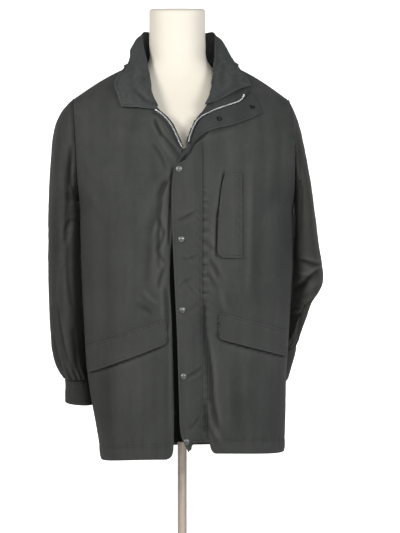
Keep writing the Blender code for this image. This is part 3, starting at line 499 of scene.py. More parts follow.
ARMHOLE = {
    Side.RIGHT: [(-0.229, 1.135), (-0.2318, 1.246), (-0.2385, 1.331), (-0.243, 1.363)],
    Side.LEFT: [(0.249, 1.130), (0.2470, 1.250), (0.2420, 1.318), (0.238, 1.360)],
}
FRONT_RIGHT = [
    Row(0.574, 0.560, -0.016, -0.146, -0.1815, SIDE_SEAM_Y, 2.7),
    Row(0.640, 0.632, -0.015, -0.150, -0.1935, SIDE_SEAM_Y, 2.6),
    Row(0.740, 0.735, -0.016, -0.152, -0.2100, SIDE_SEAM_Y, 2.5),
    Row(0.850, 0.850, -0.019, -0.152, -0.219, SIDE_SEAM_Y, 2.4),
    Row(0.970, 0.965, -0.024, -0.150, -0.224, SIDE_SEAM_Y, 2.4),
    Row(1.080, 1.060, -0.017, -0.148, -0.227, SIDE_SEAM_Y, 2.4),
    Row(1.160, 1.135, -0.010, -0.145, -0.229, SIDE_SEAM_Y, 2.3),
    Row(1.237, 1.180, 0.001, -0.140, -0.231, SIDE_SEAM_Y, 2.1),
    Row(1.274, 1.235, -0.011, -0.132, -0.232, SIDE_SEAM_Y, 1.9),
    Row(1.305, 1.280, -0.031, -0.122, -0.235, SIDE_SEAM_Y, 1.7),
    Row(1.345, 1.316, -0.063, -0.098, -0.238, SIDE_SEAM_Y, 1.5),
    Row(1.392, 1.343, -0.079, -0.060, -0.241, SIDE_SEAM_Y, 1.3),
    Row(NECK_POINT_Z, 1.363, -NECK_POINT_X, 0.0098, -0.243, 0.0098, 1.0),
]
FRONT_LEFT = [
    Row(0.587, 0.577, 0.023, -0.146, 0.2287, SIDE_SEAM_Y, 2.7),
    Row(0.648, 0.640, 0.023, -0.152, 0.2307, SIDE_SEAM_Y, 2.6),
    Row(0.740, 0.740, 0.023, -0.156, 0.2325, SIDE_SEAM_Y, 2.5),
    Row(0.850, 0.850, 0.023, -0.156, 0.239, SIDE_SEAM_Y, 2.4),
    Row(0.970, 0.965, 0.022, -0.152, 0.246, SIDE_SEAM_Y, 2.4),
    Row(1.080, 1.060, 0.021, -0.149, 0.249, SIDE_SEAM_Y, 2.4),
    Row(1.160, 1.130, 0.018, -0.146, 0.249, SIDE_SEAM_Y, 2.3),
    Row(1.235, 1.178, 0.013, -0.141, 0.249, SIDE_SEAM_Y, 2.1),
    Row(1.274, 1.234, 0.020, -0.133, 0.248, SIDE_SEAM_Y, 1.9),
    Row(1.305, 1.278, 0.036, -0.122, 0.245, SIDE_SEAM_Y, 1.7),
    Row(1.345, 1.313, 0.060, -0.098, 0.243, SIDE_SEAM_Y, 1.5),
    Row(1.392, 1.340, 0.078, -0.060, 0.240, SIDE_SEAM_Y, 1.3),
    Row(NECK_POINT_Z, 1.360, NECK_POINT_X, 0.0098, 0.238, 0.0098, 1.0),
]
BACK = [
    BackRow(0.568, 0.560, 0.577, -0.1815, 0.2287, 0.120, 2.3),
    BackRow(0.640, 0.632, 0.640, -0.1935, 0.2307, 0.124, 2.3),
    BackRow(0.740, 0.735, 0.740, -0.2100, 0.2325, 0.128, 2.3),
    BackRow(0.850, 0.850, 0.850, -0.219, 0.239, 0.130, 2.3),
    BackRow(0.970, 0.965, 0.965, -0.224, 0.246, 0.128, 2.3),
    BackRow(1.080, 1.060, 1.060, -0.227, 0.249, 0.126, 2.3),
    BackRow(1.160, 1.135, 1.130, -0.229, 0.249, 0.126, 2.3),
    BackRow(1.235, 1.185, 1.182, -0.231, 0.249, 0.128, 2.1),
    BackRow(1.305, 1.250, 1.247, -0.233, 0.247, 0.124, 1.9),
    BackRow(1.365, 1.305, 1.302, -0.237, 0.243, 0.112, 1.7),
    BackRow(1.410, 1.340, 1.337, -0.241, 0.240, 0.095, 1.5),
    BackRow(1.445, 1.363, 1.360, -0.243, 0.238, BACK_NECK_Y, 1.3),
]
SLEEVE_RIGHT = [
    Ring(-0.268, 1.335, -0.2330, 1.128, 0.007, 0.083, 2.0),
    Ring(-0.284, 1.300, -0.2305, 1.118, 0.009, 0.086, 2.0),
    Ring(-0.2935, 1.240, -0.2291, 1.095, 0.013, 0.088, 2.0),
    Ring(-0.2990, 1.160, -0.2278, 1.055, 0.019, 0.088, 2.1),
    Ring(-0.3020, 1.060, -0.2264, 1.000, 0.026, 0.087, 2.2),
    Ring(-0.3035, 0.950, -0.2236, 0.925, 0.034, 0.084, 2.2),
    Ring(-0.3000, 0.862, -0.2200, 0.855, 0.040, 0.080, 2.2),
    Ring(-0.2940, 0.785, -0.2132, 0.783, 0.044, 0.074, 2.2),
    Ring(-0.2815, 0.752, -0.2102, 0.752, 0.045, 0.067, 2.2),
    Ring(-0.2670, 0.7320, -0.2082, 0.7320, 0.045, 0.059, 2.3),
]
CUFF_RIGHT = [
    Ring(-0.2666, 0.7305, -0.2080, 0.7305, 0.045, 0.059, 2.3),
    Ring(-0.2655, 0.7190, -0.2062, 0.7180, 0.045, 0.059, 2.4),
    Ring(-0.2665, 0.7000, -0.2030, 0.6980, 0.046, 0.059, 2.4),
    Ring(-0.2670, 0.6800, -0.1990, 0.6740, 0.047, 0.058, 2.4),
]
SLEEVE_LEFT = [
    Ring(0.2480, 1.337, 0.2512, 1.124, 0.007, 0.083, 2.0),
    Ring(0.2608, 1.299, 0.2507, 1.112, 0.009, 0.086, 2.0),
    Ring(0.2762, 1.237, 0.2501, 1.090, 0.011, 0.088, 2.0),
    Ring(0.2887, 1.165, 0.2497, 1.050, 0.013, 0.088, 2.1),
    Ring(0.3015, 1.080, 0.2486, 1.012, 0.015, 0.086, 2.2),
    Ring(0.3112, 1.015, 0.2482, 0.985, 0.020, 0.084, 2.2),
    Ring(0.3212, 0.972, 0.2468, 0.955, 0.030, 0.082, 2.2),
    Ring(0.3055, 0.938, 0.2440, 0.915, 0.048, 0.080, 2.2),
    Ring(0.2895, 0.898, 0.2385, 0.875, 0.068, 0.077, 2.2),
    Ring(0.2745, 0.848, 0.2300, 0.830, 0.090, 0.070, 2.2),
    Ring(0.2640, 0.817, 0.2180, 0.800, 0.103, 0.060, 2.3),
]
CUFF_LEFT = [
    Ring(0.2636, 0.8155, 0.2176, 0.7985, 0.1036, 0.060, 2.3),
    Ring(0.2620, 0.7950, 0.2110, 0.7790, 0.109, 0.059, 2.4),
    Ring(0.2530, 0.7600, 0.2020, 0.7440, 0.118, 0.059, 2.4),
    Ring(0.2460, 0.7330, 0.1950, 0.7180, 0.124, 0.058, 2.4),
]
FACING_RIGHT = [
    Strip(-0.0480, 1.3205, -0.0600, 1.3160),
    Strip(-0.0370, 1.3115, -0.0450, 1.3050),
    Strip(-0.0265, 1.3010, -0.0345, 1.2940),
    Strip(-0.0165, 1.2880, -0.0250, 1.2820),
    Strip(-0.0080, 1.2705, -0.0165, 1.2655),
    Strip(0.0000, 1.2520, -0.0080, 1.2480),
    Strip(0.0055, 1.2400, -0.0010, 1.2360),
]
FACING_LEFT = [
    Strip(0.1460, 1.3740, 0.1360, 1.3500),
    Strip(0.1260, 1.3620, 0.1210, 1.3390),
    Strip(0.0940, 1.3420, 0.0985, 1.3300),
    Strip(0.0640, 1.3260, 0.0710, 1.3195),
    Strip(0.0410, 1.3110, 0.0470, 1.3055),
    Strip(0.0270, 1.2920, 0.0335, 1.2905),
    Strip(0.0165, 1.2670, 0.0245, 1.2680),
    Strip(0.0105, 1.2490, 0.0185, 1.2480),
]
STORM_FLAP_TURNED = [
    Strip(0.1520, 1.3660, 0.1725, 1.3160),
    Strip(0.1370, 1.3485, 0.1535, 1.3045),
    Strip(0.1215, 1.3375, 0.1320, 1.2955),
    Strip(0.0990, 1.3285, 0.1084, 1.2870),
    Strip(0.0715, 1.3180, 0.0784, 1.2795),
    Strip(0.0480, 1.3040, 0.0571, 1.2725),
    Strip(0.0350, 1.2885, 0.0400, 1.2630),
    Strip(0.0258, 1.2665, 0.0290, 1.2500),
    Strip(0.0190, 1.2455, 0.0185, 1.2320),
    Strip(0.0110, 1.2400, 0.0060, 1.2190),
    Strip(0.0030, 1.2330, -0.0085, 1.2060),
]
STORM_FLAP = [
    ((0.0150, 0.5920), (0.0270, 0.6005), (0.0455, 0.6080)),
    ((-0.0010, 0.6320), (0.0220, 0.6350), (0.0455, 0.6380)),
    ((-0.0045, 0.7000), (0.0205, 0.7000), (0.0455, 0.7000)),
    ((-0.0080, 0.8200), (0.0188, 0.8200), (0.0455, 0.8200)),
    ((-0.0125, 0.9200), (0.0165, 0.9200), (0.0455, 0.9200)),
    ((-0.0175, 1.0200), (0.0140, 1.0200), (0.0455, 1.0200)),
    ((-0.0205, 1.1100), (0.0125, 1.1100), (0.0455, 1.1100)),
    ((-0.0200, 1.1600), (0.0130, 1.1700), (0.0455, 1.1950)),
    ((-0.0135, 1.1980), (0.0135, 1.2160), (0.0455, 1.2530)),
]
CHEST_FLAP = [
    Strip(0.0860, 1.0030, 0.1300, 1.0020),
    Strip(0.0785, 1.0150, 0.1300, 1.0140),
    Strip(0.0765, 1.0420, 0.1300, 1.0420),
    Strip(0.0792, 1.0942, 0.1300, 1.0942),
    Strip(0.0825, 1.1368, 0.1300, 1.1368),
    Strip(0.0867, 1.1623, 0.1300, 1.1640),
    Strip(0.0931, 1.1836, 0.1300, 1.1850),
]
POCKET_FLAP_LEFT = [
    Strip(0.0785, 0.8700, 0.0785, 0.8420),
    Strip(0.0840, 0.8870, 0.0850, 0.8300),
    Strip(0.1247, 0.8760, 0.1246, 0.8185),
    Strip(0.1712, 0.8630, 0.1680, 0.8060),
    Strip(0.2050, 0.8530, 0.2010, 0.7960),
    Strip(0.2310, 0.8450, 0.2260, 0.7880),
]
POCKET_FLAP_RIGHT = [
    Strip(-0.0300, 0.8520, -0.0300, 0.8330),
    Strip(-0.0370, 0.8720, -0.0350, 0.8200),
    Strip(-0.0680, 0.8610, -0.0660, 0.8060),
    Strip(-0.1060, 0.8480, -0.1050, 0.7910),
    Strip(-0.1441, 0.8340, -0.1430, 0.7755),
    Strip(-0.1850, 0.8200, -0.1760, 0.7630),
    Strip(-0.2100, 0.8110, -0.1990, 0.7550),
]
COLLAR = [
    Station((-0.0500, -0.107, 1.3330), (-0.0535, -0.121, 1.3240), (-0.1280, -0.088, 1.3240)),
    Station((-0.0625, -0.089, 1.3600), (-0.0620, -0.105, 1.3500), (-0.1360, -0.072, 1.3490)),
    Station((-0.0760, -0.046, 1.4080), (-0.0690, -0.068, 1.3960), (-0.1460, -0.040, 1.3830)),
    Station((-0.0860, -0.008, 1.4400), (-0.0810, -0.028, 1.4520), (-0.1310, -0.003, 1.4240)),
    Station((-0.0880, 0.018, 1.4410), (-0.0880, 0.010, 1.4900), (-0.1200, 0.020, 1.4560)),
    Station((-0.0780, 0.038, 1.4410), (-0.0860, 0.038, 1.5140), (-0.1140, 0.048, 1.4840)),
    Station((-0.0500, 0.061, 1.4430), (-0.0540, 0.078, 1.5140), (-0.0680, 0.098, 1.4900)),
    Station((-0.0050, 0.071, 1.4430), (-0.0050, 0.090, 1.5120), (-0.0050, 0.112, 1.4900)),
    Station((0.0400, 0.062, 1.4430), (0.0400, 0.078, 1.5140), (0.0540, 0.098, 1.4900)),
    Station((0.0740, 0.039, 1.4410), (0.0690, 0.040, 1.5140), (0.0960, 0.048, 1.4880)),
    Station((0.0850, 0.018, 1.4410), (0.0740, 0.010, 1.4900), (0.1110, 0.018, 1.4600)),
    Station((0.0855, -0.008, 1.4400), (0.0720, -0.026, 1.4480), (0.1290, -0.004, 1.4260)),
    Station((0.0755, -0.046, 1.4080), (0.0670, -0.068, 1.3960), (0.1440, -0.034, 1.3980)),
    Station((0.0610, -0.088, 1.3600), (0.0605, -0.105, 1.3540), (0.1500, -0.046, 1.3830)),
    Station((0.0500, -0.107, 1.3350), (0.0540, -0.121, 1.3336), (0.1500, -0.048, 1.3790)),
]
SNAP_HEIGHTS = [(-0.0046, 1.192), (0.0005, 1.043), (0.0030, 0.893), (0.0051, 0.753), (0.0114, 0.613)]
SNAP_SOCKETS = [(0.1515, 1.3270), (0.0806, 1.2995)]
SNAP_GAP = 0.0011
TAPE_WIDTH = 0.0115
TAPE_TOP = 1.236
TAPE_SHARE = 0.45
TAPE_APART = 0.0012
UNDERLAP_WIDTH = 0.022
TAPE_GAP = 0.0002
TAPE_BOTTOM = 0.612
COLLAR_ROLL = 0.010
PLEATS = 6
PLEAT_SWELL = 0.05

# The main folds, as in the CAD part: x and z of both ends, width, and depth (a ridge's is below 0).
FOLDS = {
    Side.RIGHT: [
        (-0.026, 1.165, -0.074, 0.955, 0.016, 0.0040),
        (-0.074, 0.955, -0.060, 0.640, 0.022, 0.0025),
        (-0.100, 1.285, -0.190, 1.180, 0.020, 0.0030),
        (-0.050, 1.150, -0.040, 0.900, 0.012, -0.0025),
        (-0.150, 1.020, -0.160, 0.620, 0.024, 0.0030),
    ],
    Side.LEFT: [
        (0.205, 1.180, 0.170, 0.980, 0.022, 0.0035),
        (0.165, 0.800, 0.150, 0.610, 0.024, 0.0030),
        (0.052, 0.900, 0.060, 0.640, 0.012, 0.0035),
        (0.075, 0.840, 0.090, 0.600, 0.020, -0.0035),
    ],
}
FOLDS_BACK = [
    (-0.170, 1.180, -0.080, 0.900, 0.024, -0.0040),
    (0.180, 1.180, 0.090, 0.900, 0.024, -0.0040),
    (0.010, 0.980, 0.000, 0.600, 0.026, -0.0040),
    (-0.120, 0.900, -0.130, 0.600, 0.022, -0.0035),
    (0.130, 0.900, 0.140, 0.600, 0.022, -0.0035),
]


# ------------------------------------------------------------------ the coat's form


def even_rows(table: Sequence[Any], count: int) -> Array:
    """The table's rows as numbers, resampled evenly along its chord lengths."""
    numbers = as_numbers(table)
    steps = np.linalg.norm(np.diff(numbers[:, :6], axis=0), axis=1)
    keys = np.concatenate([[0.0], np.cumsum(steps)])
    return smooth(keys, numbers, np.linspace(0, keys[-1], count))


def refined(grid: Array, rows: int) -> Array:
    """The grid with more rows, evenly spaced on a curve through the ones it has."""
    steps = np.linalg.norm(np.diff(grid, axis=0), axis=2).mean(axis=1)
    keys = np.concatenate([[0.0], np.cumsum(steps)])
    flat = smooth(keys, grid.reshape(len(grid), -1), np.linspace(0, keys[-1], rows))
    return flat.reshape(rows, grid.shape[1], 3)


def evened(grid: Array, cols: int) -> Array:
    """The grid with its columns spaced evenly along each row."""
    result = np.zeros((len(grid), cols, 3))
    for row, line in enumerate(grid):
        lengths = np.concatenate([[0.0], np.cumsum(np.linalg.norm(np.diff(line, axis=0), axis=1))])
        at = np.linspace(0, lengths[-1], cols)
        result[row] = np.stack([np.interp(at, lengths, line[:, axis]) for axis in range(3)], axis=1)
    return result


def armhole_x(side: Side, z: Any) -> Array:
    """How far out the armhole lies at each height."""
    keys = np.array(ARMHOLE[side])
    return smooth(keys[:, 1], keys[:, 0], z)


def armhole_y(side: Side, z: float) -> float:
    """Half the armhole's depth at a height."""
    low, high = ARMHOLE[side][0][1], ARMHOLE[side][-1][1]
    height = min(max((z - (low + high) / 2) / ((high - low) / 2), -1.0), 1.0)
    return ARMHOLE_HALF_DEPTH * math.sqrt(1 - height**2)


CAD_ROWS = 22
FINE_COLS = 500
SHOULDER_START = 1.3
SHOULDER_RISE = 0.145
HEM_BOW = 1.6
HEM_BOW_TOP = 0.80
HEM_BOW_REACH = 0.20
HEM_LIFT = {Side.LEFT: (0.074, 0.0135, 0.024), Side.RIGHT: (0.034, 0.018, 0.020)}
HEM_LIFT_TOP = 0.70
HEM_LIFT_REACH = 0.11
SHOULDER_BACK_Y = 0.0102


def hem_bow(share: Array, z: float) -> Array:
    """How a row falls from its inner to its outer end: late near the hem, evenly above it."""
    return share ** (1 + HEM_BOW * limited((HEM_BOW_TOP - z) / HEM_BOW_REACH))


def hem_lift(x: Array, z: float, side: Side) -> Array:
    """How far the hem is pulled up beside the front opening."""
    end, width, height = HEM_LIFT[side]
    share = np.clip((end - np.abs(x)) / width, 0, 1)
    return height * (1 - np.sqrt(1 - share * share)) * limited((HEM_LIFT_TOP - z) / HEM_LIFT_REACH)


def shoulder_rise(share: Array, z: float) -> Array:
    """How much a row bows up between the neck and the shoulder end."""
    return SHOULDER_CROWN * np.sin(math.pi * share) * limited((z - SHOULDER_START) / SHOULDER_RISE)


def front_grid(table: Sequence[Row], side: Side, rows: int, cols: int) -> Array:
    """Outer points of a front, from the hem up and from its front edge to its side."""
    grid = np.zeros((CAD_ROWS, FINE_COLS, 3))
    across = np.linspace(0, 1, FINE_COLS)
    for r, (z_in, z_out, x_in, y_in, x_out, y_out, roundness) in enumerate(even_rows(table, CAD_ROWS)):
        if r == CAD_ROWS - 1:
            y_out = y_in
        elif z_out > ARMHOLE[side][0][1]:
            x_out = armhole_x(side, z_out)
            y_out = UNDERARM_Y - armhole_y(side, z_out)
        x = quarter(x_in, x_out, across, roundness, True)
        y = quarter(y_in, y_out, across, roundness, False)
        share = (x - x_in) / (x_out - x_in)
        z = z_in + (z_out - z_in) * hem_bow(share, z_in) + shoulder_rise(share, z_in)
        z = z + hem_lift(x, z_in, side)
        grid[r] = np.stack([x, y, z], axis=1)
    return refined(evened(grid, cols), rows)


def back_grid(rows: int, cols: int) -> Array:
    """Outer points of the back, from the hem up and from the wearer's right to the left."""
    half = FINE_COLS
    grid = np.zeros((CAD_ROWS, 2 * half + 1, 3))
    across = np.linspace(0, 1, half + 1)
    for r, row in enumerate(even_rows(BACK, CAD_ROWS)):
        z_mid, z_right, z_left, x_right, x_left, y_mid, roundness = row
        for side, x_out, z_out in ((Side.RIGHT, x_right, z_right), (Side.LEFT, x_left, z_left)):
            y_out = SIDE_SEAM_Y + SEAM_GAP
            if z_out > ARMHOLE[side][0][1]:
                x_out = armhole_x(side, z_out)
                y_out = UNDERARM_Y + armhole_y(side, z_out)
            x = quarter(0.0, x_out, across, roundness, True)
            y = quarter(y_mid, y_out, across, roundness, False)
            share = np.abs(x / x_out)
            z = z_mid + (z_out - z_mid) * share**1.5 + shoulder_rise(share, z_mid)
            if r == CAD_ROWS - 1:
                inside = np.clip(1 - (x / NECK_POINT_X) ** 2, 0, 1)
                y = SHOULDER_BACK_Y + (BACK_NECK_Y - SHOULDER_BACK_Y) * np.sqrt(inside)
                along = np.clip((np.abs(x) - NECK_POINT_X) / (abs(x_out) - NECK_POINT_X), 0, 1)
                z = NECK_POINT_Z + (z_out - NECK_POINT_Z) * along + SHOULDER_CROWN * np.sin(math.pi * along)
            strip = np.stack([x, y, z], axis=1)
            if side is Side.RIGHT:
                grid[r, : half + 1] = strip[::-1]
            else:
                grid[r, half:] = strip
    return refined(evened(grid, cols), rows)


def seam_normals(grid: Array, edges: dict[int, Side], outward: int) -> Array:
    """Normals out of the coat, turned into the seam's plane at the shoulder, side and armhole."""
    normals = grid_normals(grid)
    if normals[grid.shape[0] // 2, grid.shape[1] // 2, Axis.Y.value] * outward < 0:
        normals = -normals
    flatten(normals, (-1, slice(None)), Axis.Y)
    for column, side in edges.items():
        low = grid[:, column, 2] <= ARMHOLE[side][0][1] + 0.004
        flatten(normals, (low, column), Axis.Y)
        flatten(normals, (~low, column), Axis.X)
    return normals


def ring_points(ring: Array, run: Array, around: int, ripple: float = 0.0) -> Array:
    """A closed superellipse between the ring's two end points, leaning back as the sleeve's run does."""
    outer = np.array([ring[0], ring[4], ring[1]])
    inner = np.array([ring[2], ring[4], ring[3]])
    lean = min(max(math.atan2(run[1], -run[2]), 0.0), 0.6)
    deep = np.array([0.0, math.cos(lean), math.sin(lean)]) * ring[5]
    turns = np.linspace(0, 2 * math.pi, around, endpoint=False)
    swell = 1 + ripple * np.cos(turns * PLEATS)
    a = np.sign(np.cos(turns)) * np.abs(np.cos(turns)) ** (2 / ring[6]) * swell
    b = np.sign(np.sin(turns)) * np.abs(np.sin(turns)) ** (2 / ring[6]) * swell
    return (outer + inner) / 2 + a[:, None] * (outer - inner) / 2 + b[:, None] * deep


def armhole_ring(side: Side, around: int) -> Array:
    """The armhole's loop, moved out by a small gap."""
    low, high = ARMHOLE[side][0][1], ARMHOLE[side][-1][1]
    turns = np.linspace(0, 2 * math.pi, around, endpoint=False)
    z = (low + high) / 2 + (high - low) / 2 * np.cos(turns)
    y = UNDERARM_Y + ARMHOLE_HALF_DEPTH * np.sin(turns)
    return np.stack([armhole_x(side, z) + side.value * ARMHOLE_GAP, y, z], axis=1)


CAD_RINGS = 14


def arm_grid(table: Sequence[Ring], side: Side, last_run: Array, rows: int,
             around: int) -> tuple[Array, Array, Array]:
    """A sleeve from its armhole to its pleated end.

    Args:
        table: the sleeve's sections.
        side: the wearer's side.
        last_run: the way the arm runs at its end.
        rows: how many rows the grid has.
        around: how many points go round.

    Returns:
        The grid, and the way the arm runs at its first and last rows.
    """
    numbers = as_numbers(table)
    centres = np.array([ring.middle() for ring in table])
    at = np.linspace(0, len(numbers) - 1, CAD_RINGS)
    sections = smooth(np.arange(len(numbers)), numbers, at)
    runs = unit(np.gradient(smooth(np.arange(len(numbers)), centres, at), axis=0))
    share = np.clip(np.linspace(-3, 1, CAD_RINGS), 0, 1)[:, None]
    runs = unit(runs * (1 - share) + last_run * share)
    ripples = PLEAT_SWELL * np.linspace(0, 1, CAD_RINGS) ** 6
    rings = [ring_points(sections[i], runs[i], around, ripples[i]) for i in range(CAD_RINGS)]
    grid = refined(np.concatenate([armhole_ring(side, around)[None], np.array(rings)]), rows)
    return grid, np.array([side.value, 0.0, 0.0]), runs[-1]


def tube_normals(grid: Array, first: Array, last: Array) -> Array:
    """Outward normals of a tube, turned into the plane of its end rings."""
    normals = grid_normals(grid, closed=True)
    away = grid - grid.mean(axis=1, keepdims=True)
    normals = normals if (normals * away).sum() > 0 else -normals
    for end, run in ((0, first), (-1, last)):
        normals[end] = unit(normals[end] - (normals[end] @ run)[:, None] * run)
    return normals


def crossing(lines: Array, value: Array) -> Array:
    """Where each rising line (a column of lines) first reaches its value, as a broken index."""
    low = np.clip((lines < value).sum(axis=0) - 1, 0, len(lines) - 2)
    column = np.arange(lines.shape[1])
    start, end = lines[low, column], lines[low + 1, column]
    return low + np.clip((value - start) / np.where(np.abs(end - start) < 1e-9, 1e-9, end - start), 0, 1)


class Surface:
    """A front's creased outer surface, read at any (x, z) on it or just past its front edge."""

    def __init__(self, grid: Array, normals: Array, side: Side) -> None:
        """Keeps the grid with softened normals, so that what lies on it doesn't shake."""
        self.grid = grid
        self.normals = normals.copy()
        for _ in range(3):
            self.normals[1:-1, 1:-1] = (self.normals[:-2, 1:-1] + self.normals[2:, 1:-1]
                                        + self.normals[1:-1, :-2] + self.normals[1:-1, 2:]) / 4
        self.normals = unit(self.normals)
        self.sign = side.value

    def find(self, x: Array, z: Array) -> tuple[Array, Array]:
        """The broken row and column of each place."""
        rows, cols = self.grid.shape[:2]
        r, c = np.full(x.shape, rows / 2), np.full(x.shape, cols / 2)
        for _ in range(12):
            low = np.minimum(c.astype(int), cols - 2)
            part = c - low
            r = crossing(self.grid[:, low, 2] * (1 - part) + self.grid[:, low + 1, 2] * part, z)
            low = np.minimum(r.astype(int), rows - 2)
            part = (r - low)[:, None]
            wide = self.grid[low, :, 0] * (1 - part) + self.grid[low + 1, :, 0] * part
            c = crossing((wide * self.sign).T, x * self.sign)
        return r, c

    def between(self, field_: Array, r: Array, c: Array) -> Array:
        """The field at broken rows and columns."""
        r0 = np.minimum(r.astype(int), field_.shape[0] - 2)
        c0 = np.minimum(c.astype(int), field_.shape[1] - 2)
        u, v = (r - r0)[:, None], (c - c0)[:, None]
        low = field_[r0, c0] * (1 - v) + field_[r0, c0 + 1] * v
        high = field_[r0 + 1, c0] * (1 - v) + field_[r0 + 1, c0 + 1] * v
        return low * (1 - u) + high * u

    def cover(self, plan: Array, lift: Any) -> Array:
        """Places (x, z) of any shape laid on the surface, moved out by a lift."""
        plan = np.asarray(plan, float)
        x, z = plan[..., 0].ravel(), plan[..., 1].ravel()
        r, c = self.find(x, z)
        points = self.between(self.grid, r, c)
        normals = unit(self.between(self.normals, r, c))
        past = c <= 0
        points[past, 0], points[past, 2] = x[past], z[past]
        lifts = np.broadcast_to(np.asarray(lift, float), plan.shape[:-1]).ravel()
        return (points + normals * lifts[:, None]).reshape(*plan.shape[:-1], 3)

    def normal(self, x: float, z: float) -> Array:
        """The outward normal at one place."""
        r, c = self.find(np.array([x]), np.array([z]))
        return unit(self.between(self.normals, r, c))[0]


def strip_plan(table: Sequence[Strip], rows: int, cols: int) -> Array:
    """(x, z) places between the two edges of a table of strips."""
    numbers = smooth(np.arange(len(table)), as_numbers(table), np.linspace(0, len(table) - 1, rows))
    across = np.linspace(0, 1, cols)[None, :, None]
    return numbers[:, None, :2] * (1 - across) + numbers[:, None, 2:] * across


def pushed_clear(points: Array, surfaces: Sequence[tuple[Array, Array]], lift: float) -> Array:
    """Points moved out until each is at least lift in front of the nearest point of the surfaces."""
    spots = np.concatenate([grid[::3, ::3].reshape(-1, 3) for grid, _ in surfaces])
    normals = np.concatenate([away[::3, ::3].reshape(-1, 3) for _, away in surfaces])
    moved = points.reshape(-1, 3).copy()
    for _ in range(3):
        gaps = (moved**2).sum(1)[:, None] - 2 * moved @ spots.T + (spots**2).sum(1)[None]
        near = np.argmin(gaps, axis=1)
        short = lift - ((moved - spots[near]) * normals[near]).sum(axis=1)
        moved += normals[near] * np.maximum(short, 0)[:, None]
    return moved.reshape(points.shape)


def collar_form(surfaces: Sequence[tuple[Array, Array]], rows: int, cols: int) -> Array:
    """Sections of stand, roll and fall, smoothed into one band; the fall is kept clear of the fronts."""
    stations = []
    crowns = np.sin(np.linspace(0, math.pi, len(COLLAR))) ** 0.5
    for station, share in zip(COLLAR, crowns):
        base, roll, edge = np.array(station.base), np.array(station.roll), np.array(station.edge)
        before = roll - unit(roll - base) * COLLAR_ROLL
        after = roll + unit(edge - roll) * COLLAR_ROLL
        crown = np.array([0.0, -0.002, 0.004]) * share
        stations.append([base, before, roll + crown, after + crown, (after + edge) / 2 + crown * 1.5, edge])
    grid = net(stations, rows, cols)
    middle = cols // 2
    fall = pushed_clear(grid[:, middle:], surfaces, COLLAR_LIFT)
    blend = np.linspace(0, 1, fall.shape[1])[None, :, None] ** 0.3
    grid[:, middle:] = grid[:, middle:] * (1 - blend) + fall * blend
    return grid


# ------------------------------------------------------------------ shaders


Operand = Any


class Signal:
    """A socket's output with arithmetic: each operator adds a Math node."""

    def __init__(self, shader: "Shader", socket: bpy.types.NodeSocket) -> None:
        """Wraps one output socket of the shader's tree."""
        self.shader = shader
        self.socket = socket

    def _math(self, operation: str, *values: Operand) -> "Signal":
        """A Math node over the values."""
        return self.shader.node("ShaderNodeMath", {"operation": operation}, dict(enumerate(values)))

    def __add__(self, other: Operand) -> "Signal":
        """Sum."""
        return self._math("ADD", self, other)

    def __radd__(self, other: Operand) -> "Signal":
        """Sum, from the right."""
        return self._math("ADD", other, self)

    def __sub__(self, other: Operand) -> "Signal":
        """Difference."""
        return self._math("SUBTRACT", self, other)

    def __rsub__(self, other: Operand) -> "Signal":
        """Difference, from the right."""
        return self._math("SUBTRACT", other, self)

    def __mul__(self, other: Operand) -> "Signal":
        """Product."""
        return self._math("MULTIPLY", self, other)

    def __rmul__(self, other: Operand) -> "Signal":
        """Product, from the right."""
        return self._math("MULTIPLY", other, self)

    def sine(self) -> "Signal":
        """The sine."""
        return self._math("SINE", self)

    def clamped(self, low: float = 0.0, high: float = 1.0) -> "Signal":
        """The value kept between two limits."""
        return self._math("MAXIMUM", self._math("MINIMUM", self, high), low)


